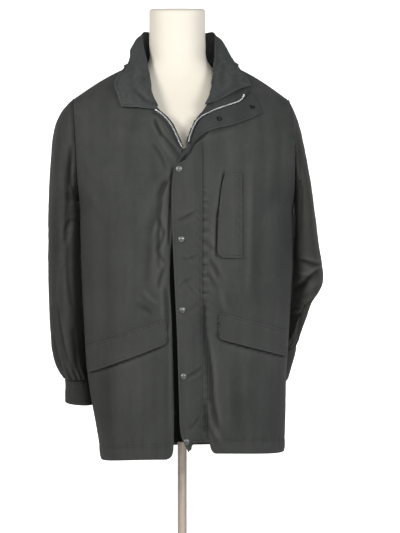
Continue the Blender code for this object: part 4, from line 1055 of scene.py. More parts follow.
class Shader:
    """One material's node tree."""

    def __init__(self, name: str) -> None:
        """Starts a material with a bare Principled node."""
        self.material = bpy.data.materials.new(name)
        self.material.use_nodes = True
        self.tree = self.material.node_tree
        self.principled = self.tree.nodes["Principled BSDF"]

    def node(self, kind: str, settings: dict[str, Any] | None = None,
             values: dict[Any, Operand] | None = None, output: Any = 0) -> Signal:
        """Adds any node.

        Args:
            kind: the node's type.
            settings: its properties, set first.
            values: plain values or signals for its inputs, by name or index.
            output: the output to hand back.

        Returns:
            The chosen output.
        """
        made = self.tree.nodes.new(kind)
        for key, value in (settings or {}).items():
            setattr(made, key, value)
        for key, value in (values or {}).items():
            self.feed(made.inputs[key], value)
        return Signal(self, made.outputs[output])

    def feed(self, socket: bpy.types.NodeSocket, value: Operand) -> None:
        """Links a signal into a socket, or sets its plain value."""
        if isinstance(value, Signal):
            self.tree.links.new(value.socket, socket)
        else:
            socket.default_value = value

    def ramp(self, factor: Operand, stops: Sequence[tuple[float, tuple[float, float, float]]]) -> Signal:
        """A colour ramp through the stops."""
        signal = self.node("ShaderNodeValToRGB", None, {"Fac": factor})
        band = signal.socket.node.color_ramp
        while len(band.elements) < len(stops):
            band.elements.new(0.5)
        for element, (place, colour) in zip(band.elements, stops):
            element.position = place
            element.color = (*colour, 1.0)
        return signal

    def mixed(self, factor: Operand, first: Operand, second: Operand) -> Signal:
        """One colour fading into another."""
        return self.node("ShaderNodeMix", {"data_type": "RGBA"}, {0: factor, 6: first, 7: second}, 2)

    def noise(self, place: Signal, scale: float, detail: float = 2.0, rough: float = 0.5) -> Signal:
        """Soft noise from 0 to 1."""
        return self.node("ShaderNodeTexNoise", None,
                         {"Vector": place, "Scale": scale, "Detail": detail, "Roughness": rough})

    def stretched(self, place: Signal, scale: Sequence[float]) -> Signal:
        """The place, scaled along each axis."""
        return self.node("ShaderNodeMapping", None, {"Vector": place, "Scale": tuple(scale)})

    def parts(self, place: Signal) -> tuple[Signal, Signal, Signal]:
        """The three numbers of a vector."""
        split = self.node("ShaderNodeSeparateXYZ", None, {0: place}).socket.node
        return tuple(Signal(self, split.outputs[axis]) for axis in range(3))

    def objects(self) -> Signal:
        """Each point's place on the still object, in metres."""
        return self.node("ShaderNodeTexCoord", None, None, "Object")

    def cloth_place(self) -> Signal:
        """Each point's place on the flat cloth, in metres."""
        return self.node("ShaderNodeUVMap", {"uv_map": "cloth"})

    def wear(self) -> Signal:
        """The tone map written on each vertex: paler from rubbing above 0, darker with painted shade in
        troughs below 0.
        """
        return self.node("ShaderNodeAttribute", {"attribute_name": "wear"}, None, "Fac")

    def bump(self, height: Signal, strength: float, distance: float, below: Signal | None = None) -> Signal:
        """A bump from a height, laid over another one."""
        values: dict[Any, Operand] = {"Height": height, "Strength": strength, "Distance": distance}
        if below is not None:
            values["Normal"] = below
        return self.node("ShaderNodeBump", None, values)

    def finish(self, **values: Operand) -> bpy.types.Material:
        """Feeds the Principled node, with underscores for spaces, and returns the material."""
        for name, value in values.items():
            self.feed(self.principled.inputs[name.replace("_", " ")], value)
        return self.material


@dataclass(frozen=True)
class ClothFinish:
    """A woven cloth: its colours, roughness, and how deep its threads and crinkles are."""

    name: str
    dark: tuple[float, float, float]
    light: tuple[float, float, float]
    roughness: float
    sheen: float
    thread: float = 0.00055
    weave_depth: float = 0.00006
    crinkle: float = 0.00045
    gloss: float = 0.12
    fade: float = 2.1

    def build(self) -> bpy.types.Material:
        """A twill with a slight mottle, soft crinkles, paler rubbed edges and ridges, and painted shade in
        creases and troughs.
        """
        s = Shader(self.name)
        place, spot = s.cloth_place(), s.objects()
        across, up, _ = s.parts(place)
        warp = ((across + up) * (2 * math.pi / self.thread)).sine()
        weft = ((across - up * 0.5) * (2 * math.pi / (self.thread * 1.6))).sine()
        weave = warp * 0.6 + weft * 0.4
        slub = s.noise(s.stretched(place, (900.0, 60.0, 1.0)), 1.0, 2.0)
        broad = s.noise(spot, 7.0, 3.0, 0.55)
        bands = s.noise(s.stretched(spot, (34.0, 20.0, 2.2)), 1.0, 3.0, 0.5)
        tone = (broad * 0.50 + bands * 0.42 + slub * 0.10 + weave * 0.03).clamped()
        base = s.ramp(tone, [(0.34, self.dark), (0.66, self.light)])
        tone_marks = tuple(min(channel * self.fade + 0.006, 1.0) for channel in self.light)
        colour = s.mixed((s.wear() * (0.55 + broad * 0.6)).clamped(), base, (*tone_marks, 1.0))
        # Painted shade: where the vertex map falls below 0, in creases and troughs, the colour darkens towards
        # a fifth of the dark tone.
        shade = tuple(channel * 0.22 for channel in self.dark)
        colour = s.mixed((s.wear() * -1.5).clamped(), colour, (*shade, 1.0))
        rough = (self.roughness - 0.10 + broad * 0.12 + slub * 0.08).clamped()
        crinkle = s.noise(spot, 60.0, 4.0, 0.6)
        fine = s.noise(s.stretched(spot, (150.0, 150.0, 90.0)), 1.0, 3.0, 0.6)
        low = s.bump(crinkle * 0.7 + fine * 0.3, 0.55, self.crinkle)
        normal = s.bump(weave, 0.6, self.weave_depth, low)
        s.finish(Sheen_Weight=self.sheen, Sheen_Roughness=0.5, Specular_IOR_Level=self.gloss)
        return s.finish(Base_Color=colour, Roughness=rough, Normal=normal)


@dataclass(frozen=True)
class MetalFinish:
    """A metal with fine scratches and dull spots."""

    name: str
    colour: tuple[float, float, float]
    tarnish: tuple[float, float, float]
    roughness: float
    scratch: Sequence[float] = (40.0, 40.0, 900.0)
    spots: float = 240.0

    def build(self) -> bpy.types.Material:
        """Brushed metal whose tarnish gathers in spots."""
        s = Shader(self.name)
        spot = s.objects()
        dull = s.noise(spot, self.spots, 3.0, 0.6)
        lines = s.noise(s.stretched(spot, self.scratch), 1.0, 2.0)
        amount = ((dull - 0.42) * 3.0).clamped()
        colour = s.mixed(amount, (*self.colour, 1.0), (*self.tarnish, 1.0))
        rough = (self.roughness + amount * 0.2 + lines * 0.12).clamped()
        return s.finish(Base_Color=colour, Metallic=(1.0 - amount * 0.25), Roughness=rough,
                        Normal=s.bump(lines, 0.25, 0.0001))


@dataclass(frozen=True)
class ShellFinish:
    """The dress form's cream skin."""

    name: str
    colour: tuple[float, float, float]
    shade: tuple[float, float, float]
    roughness: float

    def build(self) -> bpy.types.Material:
        """A cloth-covered shell with faint mottling."""
        s = Shader(self.name)
        spot = s.objects()
        broad = s.noise(spot, 9.0, 4.0)
        grain = s.noise(spot, 900.0, 2.0)
        mottle = (broad * 0.8 + grain * 0.2 - 0.2).clamped()
        colour = s.mixed(mottle, (*self.colour, 1.0), (*self.shade, 1.0))
        rough = (self.roughness + grain * 0.08).clamped()
        return s.finish(Base_Color=colour, Roughness=rough, Normal=s.bump(grain, 0.2, 0.0002))


CLOTH_MAIN = ClothFinish("coat_cloth_look", (0.036, 0.038, 0.036), (0.058, 0.060, 0.057), 0.82, 0.04)
# Painted shade: the sleeves take the coat cloth in a darker copy, for the shade they hang in at the sides.
CLOTH_SLEEVE_SHADED = ClothFinish("coat_sleeve_look", (0.030, 0.031, 0.029), (0.051, 0.051, 0.047), 0.82, 0.04)
CLOTH_COLLAR = ClothFinish("coat_collar_look", (0.039, 0.042, 0.042), (0.063, 0.066, 0.066), 0.80, 0.04)
CLOTH_FACING = ClothFinish("coat_facing_look", (0.030, 0.032, 0.032), (0.050, 0.052, 0.052), 0.82, 0.03)
# Painted shade: the tape's near-black colours stand for the deep shadow in the gap beside the storm flap; the
# vertex map lifts them to the tape's own dark tone where it shows at the neck.
CLOTH_TAPE = ClothFinish("zip_tape_look", (0.0025, 0.0028, 0.0028), (0.005, 0.0055, 0.0055), 0.95, 0.0,
                         0.0008, gloss=0.0, fade=7.0)
THREAD = ClothFinish("thread_look", (0.052, 0.054, 0.052), (0.090, 0.092, 0.087), 0.75, 0.02, 0.0002)
SNAP_METAL = MetalFinish("snap_metal_look", (0.21, 0.215, 0.21), (0.045, 0.045, 0.042), 0.30)
SOCKET_METAL = MetalFinish("socket_metal_look", (0.035, 0.036, 0.038), (0.008, 0.008, 0.008), 0.30)
ZIP_METAL = MetalFinish("zip_metal_look", (0.86, 0.87, 0.88), (0.60, 0.60, 0.59), 0.25)
POLE_METAL = MetalFinish("stand_steel_look", (0.80, 0.68, 0.58), (0.62, 0.52, 0.44), 0.36,
                         (300.0, 300.0, 4.0), 30.0)
CLAMP_METAL = MetalFinish("stand_socket_look", (0.08, 0.08, 0.08), (0.04, 0.04, 0.04), 0.45)
FORM_SHELL = ShellFinish("form_shell_look", (0.80, 0.75, 0.65), (0.74, 0.69, 0.58), 0.55)


# ------------------------------------------------------------------ creases


RIGHT_CREASES = [
    Crease(-0.029, 1.168, -0.047, 1.128, 0.0075, 0.0076, 0.002, 0.35),
    Crease(-0.045, 1.134, -0.068, 1.060, 0.0110, 0.0066, -0.003, 0.40),
    Crease(-0.066, 1.070, -0.076, 0.950, 0.0140, 0.0052, 0.002, 0.30),
    Crease(-0.074, 0.965, -0.072, 0.820, 0.0180, 0.0016, 0.003),
    Crease(-0.042, 1.124, -0.046, 0.980, 0.0045, 0.0046, 0.004, 0.4),
    Crease(-0.050, 1.090, -0.036, 1.055, 0.0040, 0.0038, 0.001),
    Crease(-0.036, 1.060, -0.052, 1.020, 0.0045, 0.0042, -0.002),
    Crease(-0.050, 1.018, -0.034, 0.992, 0.0040, 0.0030, 0.001),
    Crease(-0.036, 0.985, -0.048, 0.940, 0.0050, 0.0038, 0.002),
    Crease(-0.034, 0.940, -0.030, 0.850, 0.0060, 0.0049, -0.002),
    Crease(-0.0565, 1.3010, -0.0400, 1.2640, 0.0034, 0.0064, 0.001, 0.4),
    Crease(-0.0420, 1.2690, 0.0000, 1.2150, 0.0028, 0.0042, -0.001, 0.3),
    Crease(-0.0620, 1.2480, -0.0330, 1.1930, 0.0036, 0.0026, -0.004, 0.3),
    Crease(-0.0470, 1.2560, -0.0120, 1.2080, 0.0040, -0.0018, 0.001),
    Crease(-0.0190, 1.1920, -0.0225, 1.1050, 0.0030, 0.0070, 0.000),
    Crease(-0.0220, 1.1200, -0.0270, 1.0300, 0.0030, 0.0070, 0.000),
    Crease(-0.150, 1.300, -0.075, 1.286, 0.0160, 0.0018, 0.004),
    Crease(-0.205, 1.312, -0.200, 1.190, 0.0110, -0.0014, 0.004),
    Crease(-0.188, 1.240, -0.176, 1.090, 0.0130, 0.0013, -0.004),
    Crease(-0.224, 1.170, -0.150, 1.060, 0.0160, 0.0016, 0.008, 0.2),
    Crease(-0.152, 1.126, -0.160, 0.850, 0.0150, 0.0011, 0.003),
    Crease(-0.114, 1.190, -0.122, 0.872, 0.0130, -0.0011, -0.003),
    Crease(-0.092, 1.060, -0.098, 0.880, 0.0120, 0.0011, 0.002),
    Crease(-0.200, 1.000, -0.196, 0.830, 0.0110, 0.0014, -0.002),
    Crease(-0.130, 0.790, -0.136, 0.600, 0.0180, -0.0014, 0.004),
    Crease(-0.084, 0.800, -0.078, 0.610, 0.0150, 0.0013, -0.003),
    Crease(-0.170, 0.760, -0.158, 0.610, 0.0140, 0.0017, 0.003),
    Crease(-0.044, 0.770, -0.046, 0.620, 0.0110, -0.0011, 0.002),
    Crease(-0.020, 0.900, -0.022, 0.640, 0.0050, -0.0023, 0.001),
    Crease(-0.040, 0.8150, -0.092, 0.7935, 0.0028, 0.0024, 0.000),
    Crease(-0.086, 0.7955, -0.182, 0.7585, 0.0028, 0.0024, 0.000),
    Crease(-0.082, 0.935, -0.050, 0.905, 0.0060, -0.0025, 0.002),
    Crease(-0.096, 0.905, -0.062, 0.884, 0.0060, 0.0023, -0.002),
]
LEFT_CREASES = [
    Crease(0.0915, 1.1880, 0.0778, 1.0900, 0.0028, 0.0055, -0.001),
    Crease(0.0780, 1.1000, 0.0752, 1.0050, 0.0028, 0.0055, 0.000),
    Crease(0.0900, 0.8255, 0.1700, 0.8032, 0.0028, 0.0024, 0.000),
    Crease(0.1650, 0.8046, 0.2220, 0.7880, 0.0028, 0.0024, 0.000),
    Crease(0.050, 0.905, 0.052, 0.830, 0.0050, 0.0057, 0.001, 0.4),
    Crease(0.051, 0.840, 0.066, 0.700, 0.0070, 0.0078, -0.003, 0.45),
    Crease(0.066, 0.710, 0.078, 0.640, 0.0070, 0.0068, 0.001, 0.4),
    Crease(0.053, 0.700, 0.058, 0.606, 0.0055, 0.0057, 0.001, 0.3),
    Crease(0.066, 0.660, 0.086, 0.610, 0.0080, -0.0038, 0.002),
    Crease(0.060, 1.000, 0.080, 0.962, 0.0050, 0.0042, -0.002),
    Crease(0.056, 0.978, 0.074, 0.940, 0.0050, 0.0030, 0.001),
    Crease(0.054, 1.036, 0.070, 1.020, 0.0050, 0.0023, 0.001),
    Crease(0.0000, 1.2100, 0.0300, 1.2520, 0.0036, 0.0055, 0.001),
    Crease(0.0270, 1.2480, 0.0560, 1.2730, 0.0036, 0.0050, 0.001),
    Crease(0.0560, 1.2700, 0.1200, 1.2900, 0.0060, 0.0024, 0.001),
    Crease(0.060, 1.240, 0.150, 1.266, 0.0200, 0.0008, -0.003),
    Crease(0.210, 1.318, 0.204, 1.170, 0.0110, 0.0014, -0.004),
    Crease(0.226, 1.200, 0.150, 1.060, 0.0170, 0.0014, -0.008, 0.2),
    Crease(0.172, 1.232, 0.160, 0.914, 0.0150, 0.0011, 0.003),
    Crease(0.146, 1.200, 0.144, 0.930, 0.0090, -0.0025, -0.002),
    Crease(0.196, 1.120, 0.206, 0.890, 0.0130, -0.0013, 0.003),
    Crease(0.116, 0.980, 0.108, 0.880, 0.0110, 0.0011, 0.002),
    Crease(0.084, 0.940, 0.096, 0.892, 0.0080, -0.0027, 0.002),
    Crease(0.120, 0.790, 0.134, 0.612, 0.0160, 0.0013, 0.004),
    Crease(0.166, 0.770, 0.160, 0.612, 0.0150, -0.0016, -0.003),
    Crease(0.202, 0.760, 0.196, 0.610, 0.0130, 0.0016, 0.002),
    Crease(0.098, 0.760, 0.104, 0.640, 0.0110, -0.0011, 0.002),
]
BACK_CREASES = [
    Crease(-0.215, 1.190, -0.120, 1.020, 0.0140, 0.0054, -0.006, 0.3),
    Crease(-0.200, 1.160, -0.060, 0.880, 0.0180, 0.0042, 0.010),
    Crease(0.220, 1.190, 0.130, 1.010, 0.0140, 0.0051, 0.006, 0.3),
    Crease(0.205, 1.150, 0.070, 0.870, 0.0180, 0.0045, -0.010),
    Crease(-0.190, 1.240, -0.110, 1.180, 0.0110, 0.0043, 0.004),
    Crease(0.196, 1.236, 0.104, 1.160, 0.0110, 0.0047, -0.004),
    Crease(-0.020, 1.060, -0.026, 0.640, 0.0150, 0.0045, 0.006),
    Crease(0.036, 0.980, 0.030, 0.600, 0.0140, 0.0038, -0.004),
    Crease(-0.088, 0.860, -0.096, 0.590, 0.0150, 0.0048, 0.004),
    Crease(0.094, 0.880, 0.112, 0.590, 0.0150, 0.0048, -0.004),
    Crease(-0.156, 0.820, -0.150, 0.590, 0.0140, 0.0035, -0.003),
    Crease(0.172, 0.820, 0.178, 0.600, 0.0140, 0.0038, 0.003),
    Crease(-0.060, 1.394, 0.064, 1.388, 0.0120, 0.0045, 0.010),
    Crease(-0.110, 1.330, 0.020, 1.346, 0.0130, 0.0026, -0.006),
    Crease(-0.140, 0.960, -0.060, 0.930, 0.0110, 0.0032, 0.003),
    Crease(0.060, 0.944, 0.150, 0.968, 0.0110, 0.0032, -0.003),
    Crease(-0.040, 0.900, 0.040, 0.912, 0.0120, -0.0022, 0.004),
]
# Sleeve creases on the half that faces the front, then on the half that faces the back.
SLEEVE_CREASES = {
    (Side.RIGHT, -1): [
        Crease(-0.238, 1.250, -0.243, 1.130, 0.0060, 0.0095, 0.002, 0.3),
        Crease(-0.242, 1.150, -0.252, 1.040, 0.0075, 0.0095, -0.003, 0.3),
        Crease(-0.238, 1.130, -0.246, 1.080, 0.0040, -0.0030, 0.001),
        Crease(-0.236, 1.090, -0.256, 1.060, 0.0050, 0.0036, 0.002),
        Crease(-0.246, 1.060, -0.242, 0.900, 0.0070, 0.0045, 0.003, 0.3),
        Crease(-0.262, 1.240, -0.276, 1.040, 0.0110, -0.0027, 0.003),
        Crease(-0.280, 1.180, -0.284, 0.930, 0.0100, 0.0030, -0.003),
        Crease(-0.262, 0.990, -0.266, 0.860, 0.0100, 0.0033, 0.003),
        Crease(-0.278, 0.900, -0.252, 0.770, 0.0070, 0.0054, 0.003, 0.4),
        Crease(-0.286, 0.830, -0.266, 0.752, 0.0050, 0.0051, 0.003, 0.4),
        Crease(-0.240, 0.850, -0.232, 0.756, 0.0070, 0.0045, -0.002, 0.3),
        Crease(-0.224, 0.860, -0.220, 0.760, 0.0060, 0.0033, 0.001),
    ],
    (Side.RIGHT, 1): [
        Crease(-0.250, 1.240, -0.276, 1.080, 0.0120, 0.0042, 0.004),
        Crease(-0.240, 1.120, -0.290, 1.060, 0.0100, 0.0051, 0.004, 0.3),
        Crease(-0.240, 1.040, -0.292, 0.990, 0.0100, 0.0054, -0.004, 0.3),
        Crease(-0.286, 0.960, -0.240, 0.920, 0.0090, 0.0045, 0.003),
        Crease(-0.262, 0.880, -0.250, 0.760, 0.0080, 0.0054, 0.002, 0.3),
        Crease(-0.282, 0.860, -0.264, 0.756, 0.0060, 0.0045, -0.002),
    ],
    (Side.LEFT, -1): [
        Crease(0.256, 1.280, 0.262, 1.150, 0.0080, 0.0060, -0.003, 0.3),
        Crease(0.262, 1.170, 0.256, 1.040, 0.0090, 0.0048, 0.003, 0.3),
        Crease(0.282, 1.180, 0.290, 1.020, 0.0110, -0.0024, 0.003),
        Crease(0.256, 1.000, 0.312, 0.990, 0.0070, 0.0075, 0.003, 0.5),
        Crease(0.256, 0.972, 0.300, 0.966, 0.0060, -0.0036, 0.002),
        Crease(0.246, 0.930, 0.312, 0.978, 0.0095, 0.0140, -0.004, 0.5),
        Crease(0.244, 0.868, 0.296, 0.914, 0.0085, 0.0110, 0.003, 0.4),
        Crease(0.262, 0.905, 0.296, 0.925, 0.0060, -0.0033, 0.002),
        Crease(0.250, 0.890, 0.282, 0.896, 0.0070, 0.0051, 0.002, 0.3),
        Crease(0.270, 0.880, 0.262, 0.826, 0.0060, 0.0045, 0.002, 0.3),
        Crease(0.246, 0.870, 0.242, 0.820, 0.0060, 0.0039, -0.002),
    ],
    (Side.LEFT, 1): [
        Crease(0.262, 1.240, 0.290, 1.090, 0.0120, 0.0039, -0.004),
        Crease(0.258, 1.110, 0.300, 1.060, 0.0100, 0.0045, 0.003),
        Crease(0.260, 1.010, 0.312, 1.020, 0.0100, -0.0036, 0.003),
        Crease(0.258, 0.930, 0.300, 0.900, 0.0090, 0.0048, 0.003),
        Crease(0.252, 0.890, 0.270, 0.830, 0.0080, 0.0048, 0.002, 0.3),
    ],
}
COLLAR_CREASES = [
    Crease(-0.104, 1.372, -0.056, 1.332, 0.0060, 0.0040, 0.003, 0.3),
    Crease(-0.120, 1.350, -0.070, 1.318, 0.0070, -0.0022, 0.002),
    Crease(-0.096, 1.440, -0.084, 1.380, 0.0070, 0.0017, -0.003),
    Crease(-0.112, 1.420, -0.104, 1.350, 0.0080, 0.0014, 0.003),
    Crease(0.126, 1.384, 0.066, 1.338, 0.0060, 0.0040, 0.003, 0.3),
    Crease(0.136, 1.376, 0.072, 1.330, 0.0040, -0.0024, 0.003),
    Crease(0.098, 1.440, 0.088, 1.380, 0.0070, 0.0018, 0.003),
    Crease(0.118, 1.420, 0.110, 1.372, 0.0080, 0.0014, -0.003),
    Crease(-0.040, 1.500, 0.040, 1.504, 0.0060, 0.0024, 0.003),
]


@dataclass(frozen=True)
class Crumple:
    """Uneven softness over a whole cloth piece: a slow billow, small dents and a fine crumple."""

    seed: int
    billow: float = 0.0022
    dents: float = 0.0007
    fine: float = 0.00022

    def press(self, grid: Array) -> Array:
        """How far in each point moves."""
        lumps = Lumps(self.seed)
        depth = lumps(grid, 0.10, (1, 1, 2.6)) * self.billow + lumps(grid, 0.036, (1, 1, 2.0)) * self.dents
        ridged = 1 - np.abs(lumps(grid, 0.016, (1, 1, 1.5)))
        return depth + ridged * lumps(grid, 0.05) * self.fine * 2 + lumps(grid, 0.007) * self.fine


def fold_depth(x: Array, z: Array, folds: Sequence[tuple[float, ...]]) -> Array:
    """How far in the main folds move each place."""
    sink = np.zeros(x.shape)
    for x0, z0, x1, z1, width, depth in folds:
        dx, dz = x1 - x0, z1 - z0
        along = np.clip(((x - x0) * dx + (z - z0) * dz) / (dx * dx + dz * dz), 0, 1)
        away = np.hypot(x - x0 - along * dx, z - z0 - along * dz)
        sink += depth * (0.35 + 0.65 * np.sin(np.pi * along)) * bell(away, width)
    return sink


def cavity(sink: Array, rows: int, cols: int) -> Array:
    """How far each place lies in (above 0) or stands out against the cloth around it, from -1 to 1."""
    around = sink
    for axis, reach in ((0, rows), (1, cols)):
        hat = np.bartlett(2 * reach + 3)[1:-1]
        hat = hat / hat.sum()
        around = np.apply_along_axis(
            lambda line: np.convolve(np.pad(line, reach, mode="edge"), hat, "valid"), axis, around)
    return np.clip((sink - around) / CAVITY_DEPTH, -1, 1)


def edge_fade(shape: tuple[int, int], reach: int, closed: bool = False) -> Array:
    """A weight that fades to 0 at the grid's seams, so that seamed pieces keep meeting."""
    rows = np.minimum(np.arange(shape[0]), np.arange(shape[0])[::-1])
    weight = np.clip(rows / reach, 0, 1)[:, None] * np.ones(shape[1])
    if not closed:
        cols = np.minimum(np.arange(shape[1]), np.arange(shape[1])[::-1])
        weight = weight * np.clip(cols / reach, 0, 1)[None]
    return weight * weight * (3 - 2 * weight)


def hem_relief(hem: Array) -> Array:
    """The groove of the hem's stitches and the soft swell of the cloth turned up below it."""
    return 0.0006 * bell(hem, 0.0030, HEM_STITCH) - 0.0008 * bell(hem, 0.012, 0.013)


def seam_pucker(distance: Array, along: Array, seed: int, reach: float, depth: float) -> Array:
    """Small pinches beside a row of stitches, deepest near the seam and uneven along it."""
    waves = np.sin(along * 2 * math.pi / 0.021 + 2.2 * np.sin(along * 31 + seed)) * 0.6
    waves = waves + 0.4 * np.sin(along * 2 * math.pi / 0.011 + 1.7 * np.sin(along * 47 + seed * 2))
    return depth * waves * bell(distance, reach) * (0.6 + 0.4 * np.sin(along * 13 + seed))


# ------------------------------------------------------------------ builders


@dataclass
class Kit:
    """What the builders share: finishes, front surfaces, panel walls and the storm flap's outer points."""

    looks: dict[str, bpy.types.Material]
    surfaces: dict[Side, Surface] = field(default_factory=dict)
    walls: list[tuple[Array, Array]] = field(default_factory=list)
    flap: Array | None = None

    def dress(self, made: bpy.types.Object, look: ClothFinish | MetalFinish | ShellFinish, slot: str,
              *nodes: str) -> bpy.types.Object:
        """Gives a piece its finish and its body, and hides the nodes that it stands for."""
        made.data.materials.append(self.looks[look.name])
        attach(made, "root")
        if nodes:
            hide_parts(*nodes)
        log.info("%s: %d vertices", made.name, len(made.data.vertices))
        return made

    def thread(self, name: str, paths: Sequence[Array], surface: Surface | None, out: Any,
               step: float = 0.0034, lift: float = 0.0) -> bpy.types.Object:
        """Stitches along paths.

        Args:
            name: the new object's name.
            paths: (x, z) places when there is a surface, or points in space.
            surface: the front that the paths lie on.
            out: the outward direction, or one for each path, when there is no surface.
            step: from one stitch to the next.
            lift: how far above the surface the stitches lie.

        Returns:
            The stitches as one object.
        """
        blocks = []
        for number, path in enumerate(paths):
            spots, _ = walk(np.asarray(path, float), step)
            if surface is not None:
                points = surface.cover(spots[None], lift)[0]
                outs = np.array([surface.normal(*spot) for spot in spots[:: max(len(spots) // 12, 1)]])
                outs = outs[np.minimum(np.arange(len(spots)) * len(outs) // len(spots), len(outs) - 1)]
            else:
                points = spots
                given = out[number] if isinstance(out, list) else out
                given = np.asarray(given, float)
                outs = np.broadcast_to(given, points.shape) if given.ndim == 1 else given[
                    np.minimum(np.arange(len(points)) * len(given) // len(points), len(given) - 1)]
            for index in range(len(points)):
                ahead = points[min(index + 1, len(points) - 1)] - points[max(index - 1, 0)]
                blocks.append(small_block(points[index], ahead, outs[index], step * 0.72, 0.00075, 0.00022))
        spots, faces = joined(blocks)
        made = piece(name, spots, faces, wear=np.zeros(len(spots)), uv=spots[:, [0, 2]])
        return self.dress(made, THREAD, "coat_cloth")


def ribbon(name: str, kit: Kit, path: Array, outs: Array, width: float, height: float, look: ClothFinish,
           slot: str, sides: int = 6) -> bpy.types.Object:
    """A flattened round welt along a path, such as a felled seam or a rolled edge.

    Args:
        name: the new object's name.
        kit: the shared finishes.
        path: points along its middle.
        outs: the outward direction at each point.
        width: across the cloth.
        height: out of the cloth.
        look: its finish.
        slot: its material slot, which is not used.
        sides: how many points go round.

    Returns:
        The welt.
    """
    ahead = unit(np.gradient(path, axis=0))
    outs = unit(outs - ahead * (outs * ahead).sum(axis=1, keepdims=True))
    across = np.cross(ahead, outs)
    turns = np.linspace(0, 2 * math.pi, sides, endpoint=False)
    taper = np.clip(np.minimum(np.arange(len(path)), np.arange(len(path))[::-1]) / 2, 0.35, 1)[:, None, None]
    rings = (path[:, None] + across[:, None] * np.cos(turns)[None, :, None] * width / 2 * taper
             + outs[:, None] * np.sin(turns)[None, :, None] * height / 2 * taper)
    spots, faces = stacked(rings)
    along = np.repeat(np.arange(len(path)) * 0.003, sides)
    uv = np.stack([along, np.tile(np.arange(sides) * 0.001, len(path))], axis=1)
    # On the zip cords this value lifts the tape's near-black painted shade only part way.
    return kit.dress(piece(name, spots, faces, uv, np.full(len(spots), 0.35)), look, slot)


class Fronts:
    """The two front panels."""

    ROWS = 190
    COLS = 112
    TABLES = {Side.RIGHT: FRONT_RIGHT, Side.LEFT: FRONT_LEFT}
    CREASES = {Side.RIGHT: RIGHT_CREASES, Side.LEFT: LEFT_CREASES}

    def build(self, kit: Kit) -> None:
        """Both panels, with their surfaces kept for what lies on them."""
        for side in Side:
            grid, tone_marks = self.grid(side)
            normals = seam_normals(grid, {-1: side}, -1)
            made = shell(f"front_{side.label}_cloth", grid, normals, CLOTH, wear=tone_marks)
            kit.dress(made, CLOTH_MAIN, "coat_cloth", f"front_{side.label}")
            kit.surfaces[side] = Surface(grid, normals, side)
            kit.walls.append((grid, normals))

    def grid(self, side: Side) -> tuple[Array, Array]:
        """One panel's creased outer points, and its vertex tone map: paler from rubbing at the hem, the side
        seam and on ridges, darker with painted shade in troughs.
        """
        plain = front_grid(self.TABLES[side], side, self.ROWS, self.COLS)
        x, z = plain[..., 0], plain[..., 2]
        normals = seam_normals(plain, {-1: side}, -1)
        sink = fold_depth(x, z, FOLDS[side])
        for crease in self.CREASES[side]:
            sink += crease.press(x, z)
        fade = edge_fade(x.shape, 9)
        sink = sink * np.clip(edge_fade(x.shape, 4) + 0.25, 0, 1)
        sink += Crumple(11 + side.value).press(plain) * fade
        flat = arc_lengths(plain)
        up, across = flat[..., 1], flat[..., 0]
        hem = up
        sink += hem_relief(hem)
        sink += seam_pucker(hem - HEM_STITCH, across, 3 + side.value, 0.016, 0.0006)
        from_side = across.max(axis=1, keepdims=True) - across
        sink += seam_pucker(from_side, up, 5 + side.value, 0.014, 0.0008) * edge_fade(x.shape, 3)
        if side is Side.LEFT:
            sink += seam_pucker(x - STORM_SEAM_X, up, 9, 0.012, 0.0019) * (z < STORM_SEAM_TOP)
        tone_marks = 0.25 * bell(hem, 0.004) + 0.15 * bell(from_side, 0.003)
        # The cavity term paints shade into the troughs and pales the ridges as if rubbed.
        return plain - normals * sink[..., None], tone_marks - cavity(sink, 3, 5) * 0.30


class Back:
    """The back panel, in one piece from side seam to side seam."""

    def build(self, kit: Kit) -> None:
        """The panel with its hanging folds and a yoke crease under the collar."""
        plain = back_grid(180, 200)
        edges = {-1: Side.LEFT, 0: Side.RIGHT}
        normals = seam_normals(plain, edges, 1)
        x, z = plain[..., 0], plain[..., 2]
        sink = -fold_depth(x, z, FOLDS_BACK)
        for crease in BACK_CREASES:
            sink += crease.press(x, z)
        sink = sink * np.clip(edge_fade(x.shape, 4) + 0.2, 0, 1)
        sink += Crumple(31).press(plain) * edge_fade(x.shape, 9)
        flat = arc_lengths(plain)
        hem = flat[..., 1]
        sink += hem_relief(hem)
        sink += seam_pucker(hem - HEM_STITCH, flat[..., 0], 7, 0.016, 0.0006)
        grid = plain - normals * sink[..., None]
        normals = seam_normals(grid, edges, 1)
        # Painted shade in the troughs, and paler rubbed ridges, from the cavity term.
        tone_marks = 0.25 * bell(hem, 0.004) - cavity(sink, 3, 5) * 0.30
        made = shell("back_cloth", grid, normals, CLOTH, wear=tone_marks)
        kit.dress(made, CLOTH_MAIN, "coat_cloth", "back")
        kit.walls.append((grid, normals))


